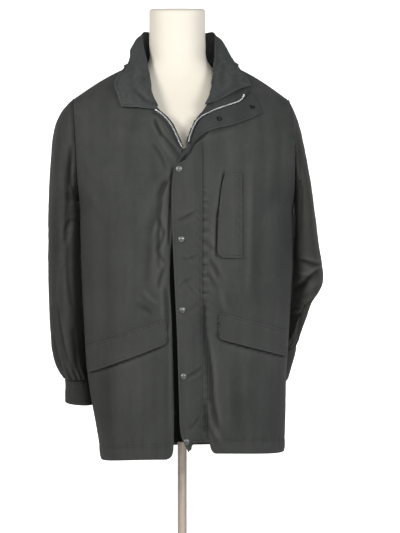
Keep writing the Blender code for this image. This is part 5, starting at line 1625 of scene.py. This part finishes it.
class Arms:
    """Sleeves and cuffs."""

    ROWS = 170
    ROUND = 128
    SLEEVES = {Side.RIGHT: SLEEVE_RIGHT, Side.LEFT: SLEEVE_LEFT}
    CUFFS = {Side.RIGHT: CUFF_RIGHT, Side.LEFT: CUFF_LEFT}

    def build(self, kit: Kit) -> None:
        """Both arms."""
        for side in Side:
            cuff = self.CUFFS[side]
            run = unit(cuff[-1].middle() - cuff[0].middle())
            self.sleeve(kit, side, run)
            self.cuff(kit, side, run)

    def sleeve(self, kit: Kit, side: Side, run: Array) -> None:
        """One sleeve, with its armhole seam, elbow creases and pleats at the cuff."""
        plain, first, last = arm_grid(self.SLEEVES[side], side, run, self.ROWS, self.ROUND)
        normals = tube_normals(plain, first, last)
        x, z = plain[..., 0], plain[..., 2]
        sink = np.zeros(x.shape)
        for facing in (-1, 1):
            weight = np.clip(normals[..., 1] * facing * 1.6 + 0.25, 0, 1)
            for crease in SLEEVE_CREASES[side, facing]:
                sink += crease.press(x, z) * weight
        sink *= edge_fade(x.shape, 5, closed=True)
        crumple = Crumple(51 + side.value, 0.0020, 0.0011, 0.0003).press(plain)
        sink += crumple * edge_fade(x.shape, 9, closed=True)
        length = arc_lengths(plain)[..., 1]
        turns = np.linspace(0, 2 * math.pi, self.ROUND, endpoint=False)[None]
        left = length.max(axis=0, keepdims=True) - length
        pleats = np.sin(turns * 14 + 1.6 * np.sin(turns * 3 + side.value))
        sink += 0.0022 * pleats * bell(left, 0.035) * np.clip(left / 0.004, 0, 1)
        sink += 0.0014 * bell(length, 0.0035, 0.006)
        pucker = seam_pucker(length, turns * 0.065 + 0 * length, 13 + side.value, 0.020, 0.0009)
        sink += pucker * np.clip(length / 0.004, 0, 1)
        grid = plain - normals * sink[..., None]
        normals = tube_normals(grid, first, last)
        # Painted shade in the creases, and paler rubbed ridges, from the cavity term.
        tone_marks = -cavity(sink, 3, 3) * 0.4
        made = shell(f"sleeve_{side.label}_cloth", grid, normals, CLOTH, closed=True, wear=tone_marks)
        kit.dress(made, CLOTH_SLEEVE_SHADED, "coat_cloth", f"sleeve_{side.label}")

    def cuff(self, kit: Kit, side: Side, run: Array) -> None:
        """One cuff: a flat band with rolled edges."""
        rings = np.array([ring_points(ring, run, self.ROUND) for ring in as_numbers(self.CUFFS[side])])
        plain = refined(rings, 44)
        normals = tube_normals(plain, run, run)
        length = arc_lengths(plain)[..., 1]
        turns = np.linspace(0, 2 * math.pi, self.ROUND, endpoint=False)[None]
        sink = Crumple(71 + side.value, 0.0008, 0.0006, 0.0002).press(plain)
        left = length.max(axis=0, keepdims=True) - length
        sink += 0.0008 * bell(length, 0.0016, 0.006) + 0.0008 * bell(left, 0.0016, 0.007)
        sink += 0.0006 * np.sin(turns * 17 + np.sin(turns * 5)) * bell(length, 0.014)
        sink *= edge_fade(length.shape, 2, closed=True)
        grid = plain - normals * sink[..., None]
        tone_marks = 0.4 * bell(left, 0.003)
        normals = tube_normals(grid, run, run)
        made = shell(f"cuff_{side.label}_cloth", grid, normals, CLOTH, closed=True, wear=tone_marks)
        kit.dress(made, CLOTH_SLEEVE_SHADED, "coat_cloth", f"cuff_{side.label}")


class Collar:
    """The stand collar, rolled over and turned outward."""

    ROWS = 230
    COLS = 58
    JUDGED_AT = (115, 10)  # on the stand at the back, where the side that shows on the fall faces the front

    def outward(self, grid: Array) -> Array:
        """Normals on the side of the collar that shows on the fall."""
        normals = grid_normals(grid)
        return -normals if normals[(*self.JUDGED_AT, Axis.Y.value)] > 0 else normals

    def build(self, kit: Kit) -> None:
        """The collar with its edge stitching."""
        plain = collar_form(kit.walls, self.ROWS, self.COLS)
        normals = self.outward(plain)
        flat = arc_lengths(plain)
        sink = np.zeros(plain.shape[:2])
        front = np.clip(-plain[..., 1] * 30 + 0.6, 0, 1)
        for crease in COLLAR_CREASES:
            sink += crease.press(plain[..., 0], plain[..., 2]) * front
        sink += Crumple(91, 0.0012, 0.0014, 0.0006).press(plain)
        width = flat[..., 0].max(axis=1, keepdims=True)
        from_edge = width - flat[..., 0]
        sink += 0.0009 * bell(from_edge, 0.0014, 0.0065)
        sink += seam_pucker(from_edge - 0.006, flat[..., 1], 15, 0.010, 0.0005)
        end = np.minimum(flat[..., 1], flat[..., 1].max(axis=0, keepdims=True) - flat[..., 1])
        sink += 0.0009 * bell(end, 0.0014, 0.0065) * (flat[..., 0] > width * 0.5)
        sink *= np.clip(flat[..., 0] / 0.008, 0, 1)
        grid = plain - normals * sink[..., None]
        tone_marks = 0.20 * bell(from_edge, 0.0025) + 0.10 * bell(end, 0.0025)
        # Painted shade in the creases, and paler rubbed ridges, from the cavity term.
        tone_marks = tone_marks - cavity(sink, 4, 4) * 0.3
        normals = self.outward(grid)
        made = shell("collar_cloth", grid, normals, TRIM, wear=tone_marks)
        kit.dress(made, CLOTH_COLLAR, "coat_cloth", "collar")
        line = int(self.COLS * 0.93)
        paths = [grid[6:-6, line]]
        outs = [normals[6:-6, line]]
        for row in (5, -6):
            paths.append(grid[row, 34:line])
            outs.append(normals[row, 34:line])
        kit.thread("collar_stitches", paths, None, outs)


@dataclass(frozen=True)
class Overlay:
    """A flat piece that lies on a front.

    edge is how far in its stitch groove lies, puff is how far its middle stands up, and rise_first and
    rise_last lift its first and last columns.
    """

    name: str
    side: Side
    lift: float
    look: ClothFinish
    slot: str
    seed: int
    edge: float = 0.0055
    puff: float = 0.0014
    rise_first: float = 0.0
    rise_last: float = 0.0


class Overlays:
    """Flaps and facings: everything that is sewn flat on the fronts."""

    def lay(self, kit: Kit, spec: Overlay, plan: Array, sewn: tuple[bool, bool, bool, bool],
            creases: Sequence[Crease] = ()) -> tuple[Array, Array]:
        """Lays one piece on its front.

        Args:
            kit: the shared finishes and surfaces.
            spec: what the piece is.
            plan: (x, z) places.
            sewn: whether its first row, last row, first column and last column are sewn down.
            creases: creases pressed into it.

        Returns:
            The outer grid and its normals.
        """
        surface = kit.surfaces[spec.side]
        share = np.linspace(0, 1, plan.shape[1])
        rise = spec.rise_first * (1 - share) ** 3 + spec.rise_last * share**3
        plain = surface.cover(plan, np.broadcast_to(spec.lift + TRIM + rise, plan.shape[:2]))
        normals = facing_normals(plain)
        for _ in range(2):
            plain[1:-1, 1:-1] = (plain[:-2, 1:-1] + plain[2:, 1:-1] + plain[1:-1, :-2] + plain[1:-1, 2:]) / 4
        flat = arc_lengths(plain)
        across, up = flat[..., 0], flat[..., 1]
        edges = [up, up.max(axis=0, keepdims=True) - up, across, across.max(axis=1, keepdims=True) - across]
        sink = np.zeros(plain.shape[:2])
        for distance, held in zip(edges, sewn):
            groove = 0.0007 * bell(distance, 0.0012, spec.edge)
            sink += groove - (0 if held else 0.0005) * bell(distance, 0.002, 0.002)
            depth = 0.0010 if held else 0.0003
            sink += seam_pucker(distance - spec.edge, across + up, spec.seed, 0.009, depth)
        for crease in creases:
            sink += crease.press(plain[..., 0], plain[..., 2])
        centre = np.minimum.reduce(edges)
        sink -= spec.puff * np.clip(centre / 0.016, 0, 1) * 0.7
        sink += Crumple(spec.seed, 0.0010, 0.0006, 0.0002).press(plain)
        sink = np.minimum(sink, spec.lift * 0.9)
        grid = plain - normals * sink[..., None]
        tone_marks = np.zeros(sink.shape)
        for distance, held in zip(edges, sewn):
            tone_marks = np.maximum(tone_marks, (0.0 if held else 0.16) * bell(distance, 0.0022))
        # Painted shade in the creases, and paler rubbed ridges, from the cavity term.
        tone_marks = tone_marks - cavity(sink, 3, 3) * 0.25
        normals = facing_normals(grid)
        made = shell(spec.name + "_cloth", grid, normals, TRIM, wear=tone_marks)
        kit.dress(made, spec.look, spec.slot, spec.name)
        return grid, normals

    def stitched(self, kit: Kit, name: str, grid: Array, normals: Array,
                 lines: Sequence[tuple[str, float]]) -> None:
        """Rows of stitches on a laid grid; a line is an edge's letter and how far in it lies, as a share."""
        paths, outs = [], []
        rows, cols = grid.shape[:2]
        for edge, share in lines:
            if edge in "lr":
                col = int(round((cols - 1) * (share if edge == "l" else 1 - share)))
                paths.append(grid[3:-3, col])
                outs.append(normals[3:-3, col])
            else:
                row = int(round((rows - 1) * (share if edge == "b" else 1 - share)))
                paths.append(grid[row, 2:-2])
                outs.append(normals[row, 2:-2])
        kit.thread(name, paths, None, outs)

    def build(self, kit: Kit) -> None:
        """All of them."""
        flap = np.array(STORM_FLAP, float)
        keys = np.arange(len(flap))
        tall = smooth(keys, flap.reshape(len(flap), -1), np.linspace(0, keys[-1], 320)).reshape(320, 3, 2)
        wide = smooth([0, 1, 2], tall.transpose(1, 0, 2).reshape(3, -1), np.linspace(0, 2, 40))
        plan = wide.reshape(40, 320, 2).transpose(1, 0, 2)
        folds = [
            Crease(-0.010, 1.082, 0.030, 1.104, 0.0045, 0.0032, 0.003, 0.4),
            Crease(-0.012, 1.098, 0.040, 1.112, 0.0060, -0.0016, 0.003),
            Crease(0.004, 1.002, 0.032, 1.008, 0.0045, 0.0026, 0.002, 0.4),
            Crease(0.002, 1.018, 0.026, 0.992, 0.0040, -0.0016, 0.001),
            Crease(-0.006, 0.938, 0.024, 0.962, 0.0050, 0.0022, -0.003, 0.3),
            Crease(0.010, 0.960, 0.030, 0.925, 0.0050, 0.0022, 0.002, 0.3),
            Crease(0.014, 0.890, 0.038, 0.912, 0.0050, 0.0018, 0.002),
            Crease(0.014, 0.754, 0.042, 0.772, 0.0035, 0.0034, 0.001, 0.5),
            Crease(0.016, 0.744, 0.044, 0.762, 0.0040, -0.0014, 0.001),
            Crease(0.018, 0.640, 0.036, 0.664, 0.0035, 0.0032, 0.001, 0.5),
            Crease(0.004, 0.690, 0.022, 0.640, 0.0050, 0.0016, 0.002),
            Crease(0.030, 0.860, 0.032, 0.740, 0.0055, 0.0022, 0.002),
            Crease(0.004, 1.160, 0.012, 1.110, 0.0060, 0.0016, 0.002),
            Crease(0.030, 1.210, 0.034, 1.130, 0.0060, 0.0012, 0.001),
        ]
        spec = Overlay("storm_flap", Side.LEFT, FLAP_LIFT, CLOTH_MAIN, "coat_cloth", 21,
                       rise_first=0.0025, rise_last=-0.0028)
        grid, normals = self.lay(kit, spec, plan, (False, False, False, True), folds)
        self.stitched(kit, "storm_flap_stitches", grid, normals,
                      [("l", 0.10), ("r", 0.05), ("r", 0.16), ("b", 0.022)])
        kit.flap = grid
        spec = Overlay("storm_flap_turned", Side.LEFT, TURNED_LIFT, CLOTH_FACING, "coat_facing", 22)
        plan = strip_plan(STORM_FLAP_TURNED, 150, 34)
        grid, normals = self.lay(kit, spec, plan, (False, True, True, False))
        self.stitched(kit, "storm_flap_turned_stitches", grid, normals, [("r", 0.10), ("b", 0.03)])
        for side, table in ((Side.RIGHT, FACING_RIGHT), (Side.LEFT, FACING_LEFT)):
            spec = Overlay(f"facing_{side.label}", side, TURNED_LIFT, CLOTH_FACING, "coat_facing",
                           23 + side.value, edge=0.003, puff=0.0006)
            self.lay(kit, spec, strip_plan(table, 110, 14), (True, True, True, True))
        spec = Overlay("chest_flap", Side.LEFT, LIFT, CLOTH_MAIN, "coat_cloth", 26, rise_first=0.0050)
        grid, normals = self.lay(kit, spec, strip_plan(CHEST_FLAP, 110, 40), (False, True, False, True))
        self.stitched(kit, "chest_flap_stitches", grid, normals, [("r", 0.05)])
        for side, table in ((Side.LEFT, POCKET_FLAP_LEFT), (Side.RIGHT, POCKET_FLAP_RIGHT)):
            spec = Overlay(f"pocket_flap_{side.label}", side, LIFT, CLOTH_MAIN, "coat_cloth",
                           27 + side.value, rise_last=0.0035)
            grid, normals = self.lay(kit, spec, strip_plan(table, 130, 40), (False, False, True, False))
            self.stitched(kit, f"pocket_flap_{side.label}_stitches", grid, normals,
                          [("l", 0.05), ("l", 0.16), ("r", 0.10), ("b", 0.04)])


class Zips:
    """The two tapes of the front zip, their teeth and the top stop."""

    TOOTH_STEP = 0.0019

    def build(self, kit: Kit) -> None:
        """The hidden tapes and the rows of teeth that show on the turned-out edges."""
        heights = np.linspace(TAPE_BOTTOM, TAPE_TOP, 200)
        edges = {side: np.interp(heights, kit.surfaces[side].grid[:, 0, 2], kit.surfaces[side].grid[:, 0, 0])
                 for side in Side}
        room = edges[Side.LEFT] - edges[Side.RIGHT] - 2 * TAPE_GAP
        widths = {Side.LEFT: -np.minimum(TAPE_WIDTH, room * TAPE_SHARE)}
        widths[Side.RIGHT] = np.minimum(UNDERLAP_WIDTH, room + widths[Side.LEFT] - TAPE_APART)
        for side in Side:
            surface = kit.surfaces[side]
            shares = np.linspace(0, 1, 8)
            start = edges[side] - side.value * TAPE_GAP
            plan = np.stack([start[:, None] + widths[side][:, None] * shares[None],
                             heights[:, None] + 0 * shares[None]], axis=-1)
            grid = surface.cover(plan, TAPE_SINK)
            normals = facing_normals(grid)
            # Below TAPE_PALE_FROM the tape keeps its near-black painted shade; above it, the tape fades up to
            # its own dark tone.
            pale = np.clip((grid[..., 2] - TAPE_PALE_FROM) / TAPE_PALE_REACH, 0, 1)
            made = shell(f"zip_tape_{side.label}_cloth", grid, normals, TAPE, wear=pale, round_edge=False)
            kit.dress(made, CLOTH_TAPE, "zip_tape", f"zip_tape_{side.label}")
            shown = heights < LOW_TEETH_TOP
            self.teeth(kit, f"zip_teeth_low_{side.label}", grid[shown, -1] + normals[shown, -1] * 0.0002,
                       normals[shown, -1], 0.0028, 0.0030)
            self.turned_edge(kit, side)

    def teeth(self, kit: Kit, name: str, path: Array, outs: Array, width: float, step: float) -> None:
        """A row of teeth along a path."""
        spots, ahead = walk(path, step)
        near = np.linspace(0, len(outs) - 1, len(spots)).astype(int)
        blocks = []
        for index, (spot, direction) in enumerate(zip(spots, ahead)):
            out = outs[near[index]]
            across = np.cross(direction, out)
            blocks.append(small_block(spot + out * TOOTH_LIFT, across, out, width, step * 0.62, 0.0011))
        points, faces = joined(blocks)
        kit.dress(piece(name, points, faces), ZIP_METAL, "snap_metal")

    def turned_edge(self, kit: Kit, side: Side) -> None:
        """Teeth and cord along the turned-out edge beside the collar opening."""
        table = FACING_RIGHT if side is Side.RIGHT else FACING_LEFT
        surface = kit.surfaces[side]
        sides = strip_plan(table, 150, 2)
        down = np.linspace(0, 1, 150)
        inward = 0.50 if side is Side.RIGHT else 0.50 * np.clip((down - 0.52) / 0.25, 0, 1)
        inward = np.broadcast_to(inward, down.shape)[:, None]
        plan = sides[:, 0] * inward + sides[:, 1] * (1 - inward)
        path = surface.cover(plan[None], TURNED_LIFT + TRIM + TOOTH_LIFT)[0]
        outs = np.array([surface.normal(*plan[index]) for index in range(0, 150, 10)])
        outs = unit(smooth(np.arange(0, 150, 10), outs, np.arange(150)))
        if side is Side.LEFT:
            drop = np.linspace(1, 0, 14)[:, None] ** 2
            path[:14] += drop * np.array([-0.002, -0.0005, 0.004])
        self.teeth(kit, f"zip_teeth_top_{side.label}", path, outs, 0.0042, self.TOOTH_STEP)
        ribbon(f"zip_cord_{side.label}", kit, path - outs * 0.0005, outs, 0.0034, 0.0016, CLOTH_TAPE,
               "zip_tape")
        block = small_block(path[0] + outs[0] * 0.0008, path[0] - path[4], outs[0], 0.0042, 0.0052, 0.0016)
        points, faces = joined([block])
        kit.dress(piece(f"zip_stop_{side.label}", points, faces), ZIP_METAL, "snap_metal")


class Snaps:
    """Snap caps on the storm flap and sockets on its turned-out end."""

    # (radius, height) along each profile
    CAP = [(0.0001, 0.0), (0.0052, 0.0), (0.0062, 0.0002), (0.0066, 0.0008), (0.0065, 0.0013),
           (0.0060, 0.0017), (0.0054, 0.0017), (0.0050, 0.0015), (0.0046, 0.0017), (0.0036, 0.0023),
           (0.0022, 0.0026), (0.0001, 0.0027)]
    SOCKET = [(0.0001, 0.0), (0.0048, 0.0), (0.0055, 0.0003), (0.0057, 0.0009), (0.0052, 0.0014),
              (0.0045, 0.0015), (0.0038, 0.0011), (0.0034, 0.0004), (0.0022, 0.0004), (0.0018, 0.0009),
              (0.0001, 0.0010)]

    def build(self, kit: Kit) -> None:
        """All seven."""
        surface = kit.surfaces[Side.LEFT]
        flat = kit.flap.reshape(-1, 3)
        for number, (x, z) in enumerate(SNAP_HEIGHTS, 1):
            near = np.argmin((flat[:, 0] - x) ** 2 + (flat[:, 2] - z) ** 2)
            centre = np.array([x, flat[near, 1] - 0.0006, z])
            self.fit(kit, f"snap_{number}", centre, np.array([0, -1.0, 0]), self.CAP, SNAP_METAL)
        for number, (x, z) in enumerate(SNAP_SOCKETS, 1):
            normal = surface.normal(x, z)
            centre = surface.cover(np.array([[x, z]]), TURNED_LIFT + TRIM + SNAP_GAP)[0]
            self.fit(kit, f"snap_socket_{number}", centre, normal, self.SOCKET, SOCKET_METAL)

    def fit(self, kit: Kit, name: str, centre: Array, normal: Array, profile: Sequence[tuple[float, float]],
            look: MetalFinish) -> None:
        """One turned metal disc."""
        points, faces = stacked(turned(centre, normal, profile, 40))
        kit.dress(piece(name + "_metal", points, faces), look, "snap_metal", name)


class Seams:
    """Topstitching on the panels themselves."""

    def build(self, kit: Kit) -> None:
        """Hem, storm-flap seam and pocket stitch lines."""
        right, left = kit.surfaces[Side.RIGHT], kit.surfaces[Side.LEFT]
        kit.thread("front_right_hem_stitches", [self.row(right, HEM_STITCH)], right, None, lift=STITCH_LIFT)
        kit.thread("front_left_hem_stitches", [self.row(left, HEM_STITCH)], left, None, lift=STITCH_LIFT)
        line = [(0.0530, z) for z in np.linspace(0.606, 1.244, 60)]
        lines = [np.array(line), np.array(line) + [0.0050, 0.0]]
        kit.thread("storm_flap_seam_stitches", lines, left, None, lift=STITCH_LIFT)
        edge = strip_plan(CHEST_FLAP, 60, 2)[:, 1] + [0.0045, 0.0]
        kit.thread("chest_pocket_stitches", [edge], left, None, lift=STITCH_LIFT)
        for side, table in ((Side.LEFT, POCKET_FLAP_LEFT), (Side.RIGHT, POCKET_FLAP_RIGHT)):
            top = strip_plan(table, 60, 2)[8:, 0] + [0.0, 0.0040]
            kit.thread(f"pocket_{side.label}_stitches", [top], kit.surfaces[side], None, lift=STITCH_LIFT)

    def row(self, surface: Surface, height: float) -> Array:
        """(x, z) places along the hem at a height above it."""
        flat = arc_lengths(surface.grid)[..., 1]
        places = []
        for col in range(2, surface.grid.shape[1] - 8, 3):
            index = np.interp(height, flat[:, col], np.arange(len(flat)))
            low = int(index)
            point = surface.grid[low, col] * (1 - index + low) + surface.grid[low + 1, col] * (index - low)
            places.append((point[0], point[2]))
        return np.array(places)


@dataclass(frozen=True)
class Level:
    """One section of the dress form: height, centre, half sizes and squareness."""

    z: float
    x: float
    half_width: float
    y: float
    half_depth: float
    squareness: float


FORM_BOTTOM = 0.665
FORM = [
    Level(FORM_BOTTOM, -0.004, 0.148, -0.012, 0.098, 2.2),
    Level(0.690, -0.004, 0.160, -0.012, 0.106, 2.2),
    Level(0.780, -0.002, 0.163, -0.010, 0.108, 2.2),
    Level(0.900, 0.000, 0.152, -0.008, 0.100, 2.2),
    Level(1.000, 0.000, 0.146, -0.008, 0.096, 2.2),
    Level(1.120, 0.000, 0.158, -0.012, 0.104, 2.2),
    Level(1.220, -0.002, 0.172, -0.010, 0.108, 2.2),
    Level(1.300, -0.003, 0.182, -0.004, 0.096, 2.1),
    Level(1.345, -0.004, 0.176, 0.006, 0.080, 2.0),
    Level(1.380, -0.005, 0.142, 0.010, 0.068, 2.0),
    Level(1.410, -0.007, 0.100, 0.012, 0.060, 2.0),
    Level(1.440, -0.009, 0.070, 0.012, 0.057, 2.0),
    Level(1.490, -0.011, 0.0635, 0.012, 0.056, 2.0),
    Level(1.530, -0.011, 0.0632, 0.012, 0.056, 2.0),
]
CAP_SLOPE = 0.22
CAP_RISE = 0.030
BASE_RADIUS = 0.175
BASE_THICKNESS = 0.008
POLE_RADIUS = 0.0105
AXIS_HOLE = 0.0001  # the radius that closes a turned profile at its axis


class Stand:
    """The dress form, its pole, clamp and base."""

    def build(self, kit: Kit) -> None:
        """All four pieces."""
        kit.dress(self.form(), FORM_SHELL, "form_shell", "form")
        high = BASE_THICKNESS + 0.002
        foot = high + SEAM_GAP
        top = FORM_BOTTOM - SEAM_GAP
        base = [(AXIS_HOLE, 0.0), (BASE_RADIUS - 0.003, 0.0), (BASE_RADIUS - 0.001, 0.001),
                (BASE_RADIUS, 0.003), (BASE_RADIUS - 0.0006, BASE_THICKNESS - 0.002),
                (BASE_RADIUS - 0.003, BASE_THICKNESS - 0.0005), (0.120, BASE_THICKNESS), (0.022, high),
                (AXIS_HOLE, high)]
        ring = POLE_RADIUS + 0.006
        pole = [(AXIS_HOLE, foot), (POLE_RADIUS + 0.0055, foot), (ring, foot + 0.001), (ring, foot + 0.019),
                (POLE_RADIUS + 0.005, foot + 0.021), (POLE_RADIUS, foot + 0.026), (POLE_RADIUS, 0.30),
                (POLE_RADIUS, top - 0.022), (AXIS_HOLE, top - 0.0216)]
        socket = [(AXIS_HOLE, top - 0.021), (0.020, top - 0.021), (0.0215, top - 0.0200), (0.022, top - 0.018),
                  (0.022, top), (AXIS_HOLE, top)]
        for name, profile, look, slot in (("base", base, POLE_METAL, "stand_steel"),
                                          ("pole", pole, POLE_METAL, "stand_steel"),
                                          ("pole_socket", socket, CLAMP_METAL, "stand_socket")):
            points, faces = stacked(turned((0, 0, 0), (0, 0, 1), profile, 96))
            made = kit.dress(piece(name + "_metal", points, faces), look, slot, name)
            self.sharpen(made)

    def form(self) -> bpy.types.Object:
        """Torso and neck, with the neck cut off on a slope that faces forward."""
        around = 96
        numbers = as_numbers(FORM)
        heights = np.concatenate([[FORM_BOTTOM, 0.668, 0.675], np.linspace(0.69, 1.53, 90)])
        turns = np.linspace(0, 2 * math.pi, around, endpoint=False)
        rings = []
        for z, x, wide, y, deep, square in smooth(numbers[:, 0], numbers, heights):
            power = 2 / square
            rings.append(np.stack([x + wide * np.sign(np.cos(turns)) * np.abs(np.cos(turns)) ** power,
                                   y + deep * np.sign(np.sin(turns)) * np.abs(np.sin(turns)) ** power,
                                   np.full_like(turns, z)], axis=1))
        base = rings[-1]
        middle = base.mean(axis=0)
        for inset, rise in ((1.0, CAP_RISE - 0.006), (1.0, CAP_RISE - 0.001), (0.992, CAP_RISE + 0.001),
                            (0.97, CAP_RISE + 0.003), (0.90, CAP_RISE + 0.005), (0.5, CAP_RISE + 0.0056),
                            (0.01, CAP_RISE + 0.0058)):
            ring = base.copy()
            ring[:, :2] = middle[:2] + (base[:, :2] - middle[:2]) * inset
            ring[:, 2] = middle[2] + rise + CAP_SLOPE * (ring[:, 1] - middle[1])
            rings.append(ring)
        return piece("form_shell_skin", *stacked(rings))

    def sharpen(self, made: bpy.types.Object) -> None:
        """Keeps the turned metal's corners crisp."""
        made.data.set_sharp_from_angle(angle=math.radians(35))


# ------------------------------------------------------------------ studio


class Studio:
    """Camera, lights, the plain pale floor and the white sweep behind."""

    CAMERA = (0.04, -2.8, 0.985)
    SWEEP = [(1.72, 0.002), (5.6, 0.002), (6.0, 0.05), (6.3, 0.35), (6.4, 0.9), (6.4, 5.0)]
    SWEEP_HALF = 1.9
    LENS = 84.36
    AIM = (0, 0, 1.05)

    def build(self) -> None:
        """A soft white studio like the photo's."""
        bpy.ops.mesh.primitive_plane_add(size=10, location=(0, 1.0, 0))
        floor = bpy.context.active_object
        floor.name = "studio_floor"
        shader = Shader("studio_white")
        tone = shader.noise(shader.objects(), 2.0) * 0.01
        floor.data.materials.append(shader.finish(
            Base_Color=(0.80, 0.80, 0.80, 1.0), Roughness=(0.9 + tone).clamped()))
        spots = [(x, y, z) for y, z in self.SWEEP for x in (-self.SWEEP_HALF, self.SWEEP_HALF)]
        faces = [(2 * row, 2 * row + 1, 2 * row + 3, 2 * row + 2) for row in range(len(self.SWEEP) - 1)]
        sweep = piece("studio_backdrop", spots, faces)
        shader = Shader("studio_glow")
        tone = shader.noise(shader.objects(), 2.0) * 0.01
        sweep.data.materials.append(shader.finish(
            Base_Color=(0.9, 0.9, 0.9, 1.0), Roughness=(0.9 + tone).clamped(),
            Emission_Color=(1.0, 1.0, 1.0, 1.0), Emission_Strength=1.05))
        self.light("key", (-1.1, -1.3, 1.62), 0.6, 17, (1.0, 0.99, 0.97))
        self.light("fill", (1.3, -1.6, 1.62), 0.8, 22, (0.97, 0.98, 1.0))
        self.light("front", (0.3, -2.6, 1.7), 1.0, 15, (1.0, 1.0, 1.0))
        self.light("back_left", (-2.2, 2.6, 1.7), 1.2, 16, (1.0, 1.0, 1.0))
        self.light("back_right", (2.2, 2.6, 1.7), 1.2, 16, (1.0, 1.0, 1.0))
        world = bpy.data.worlds.new("studio_world")
        world.use_nodes = True
        world.node_tree.nodes["Background"].inputs["Color"].default_value = (1, 1, 1, 1)
        world.node_tree.nodes["Background"].inputs["Strength"].default_value = 0.22
        bpy.context.scene.world = world
        bpy.context.scene.view_settings.view_transform = "Standard"
        lens = bpy.data.cameras.new("photo_camera")
        lens.lens = self.LENS
        camera = bpy.data.objects.new("photo_camera", lens)
        camera.location = self.CAMERA
        camera.rotation_euler = (math.radians(90), 0, 0)
        bpy.context.scene.collection.objects.link(camera)
        bpy.context.scene.camera = camera

    def light(self, name: str, place: Sequence[float], size: float, power: float,
              colour: Sequence[float]) -> None:
        """A soft square light that faces the coat's middle."""
        lamp = bpy.data.lights.new(name, "AREA")
        lamp.size = size
        lamp.energy = power
        lamp.color = colour
        made = bpy.data.objects.new(name, lamp)
        made.location = place
        made.rotation_euler = (Vector(self.AIM) - Vector(place)).to_track_quat("-Z", "Y").to_euler()
        bpy.context.scene.collection.objects.link(made)


def plain(bounds: Any) -> Any:
    """Bounds as plain lists."""
    return [[float(number) for number in corner] for corner in bounds]


def main() -> None:
    """Loads the frame, dresses every node and sets up the studio."""
    logging.basicConfig(level=logging.INFO, format="%(name)s: %(message)s")
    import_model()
    looks = {look.name: look.build() for look in (
        CLOTH_MAIN, CLOTH_SLEEVE_SHADED, CLOTH_COLLAR, CLOTH_FACING, CLOTH_TAPE, THREAD, SNAP_METAL, SOCKET_METAL,
        ZIP_METAL, POLE_METAL, CLAMP_METAL, FORM_SHELL)}
    kit = Kit(looks)
    for builder in (Fronts(), Back(), Arms(), Collar(), Overlays(), Zips(), Snaps(), Seams(), Stand()):
        builder.build(kit)
    Studio().build()


if __name__ == "__main__":
    main()
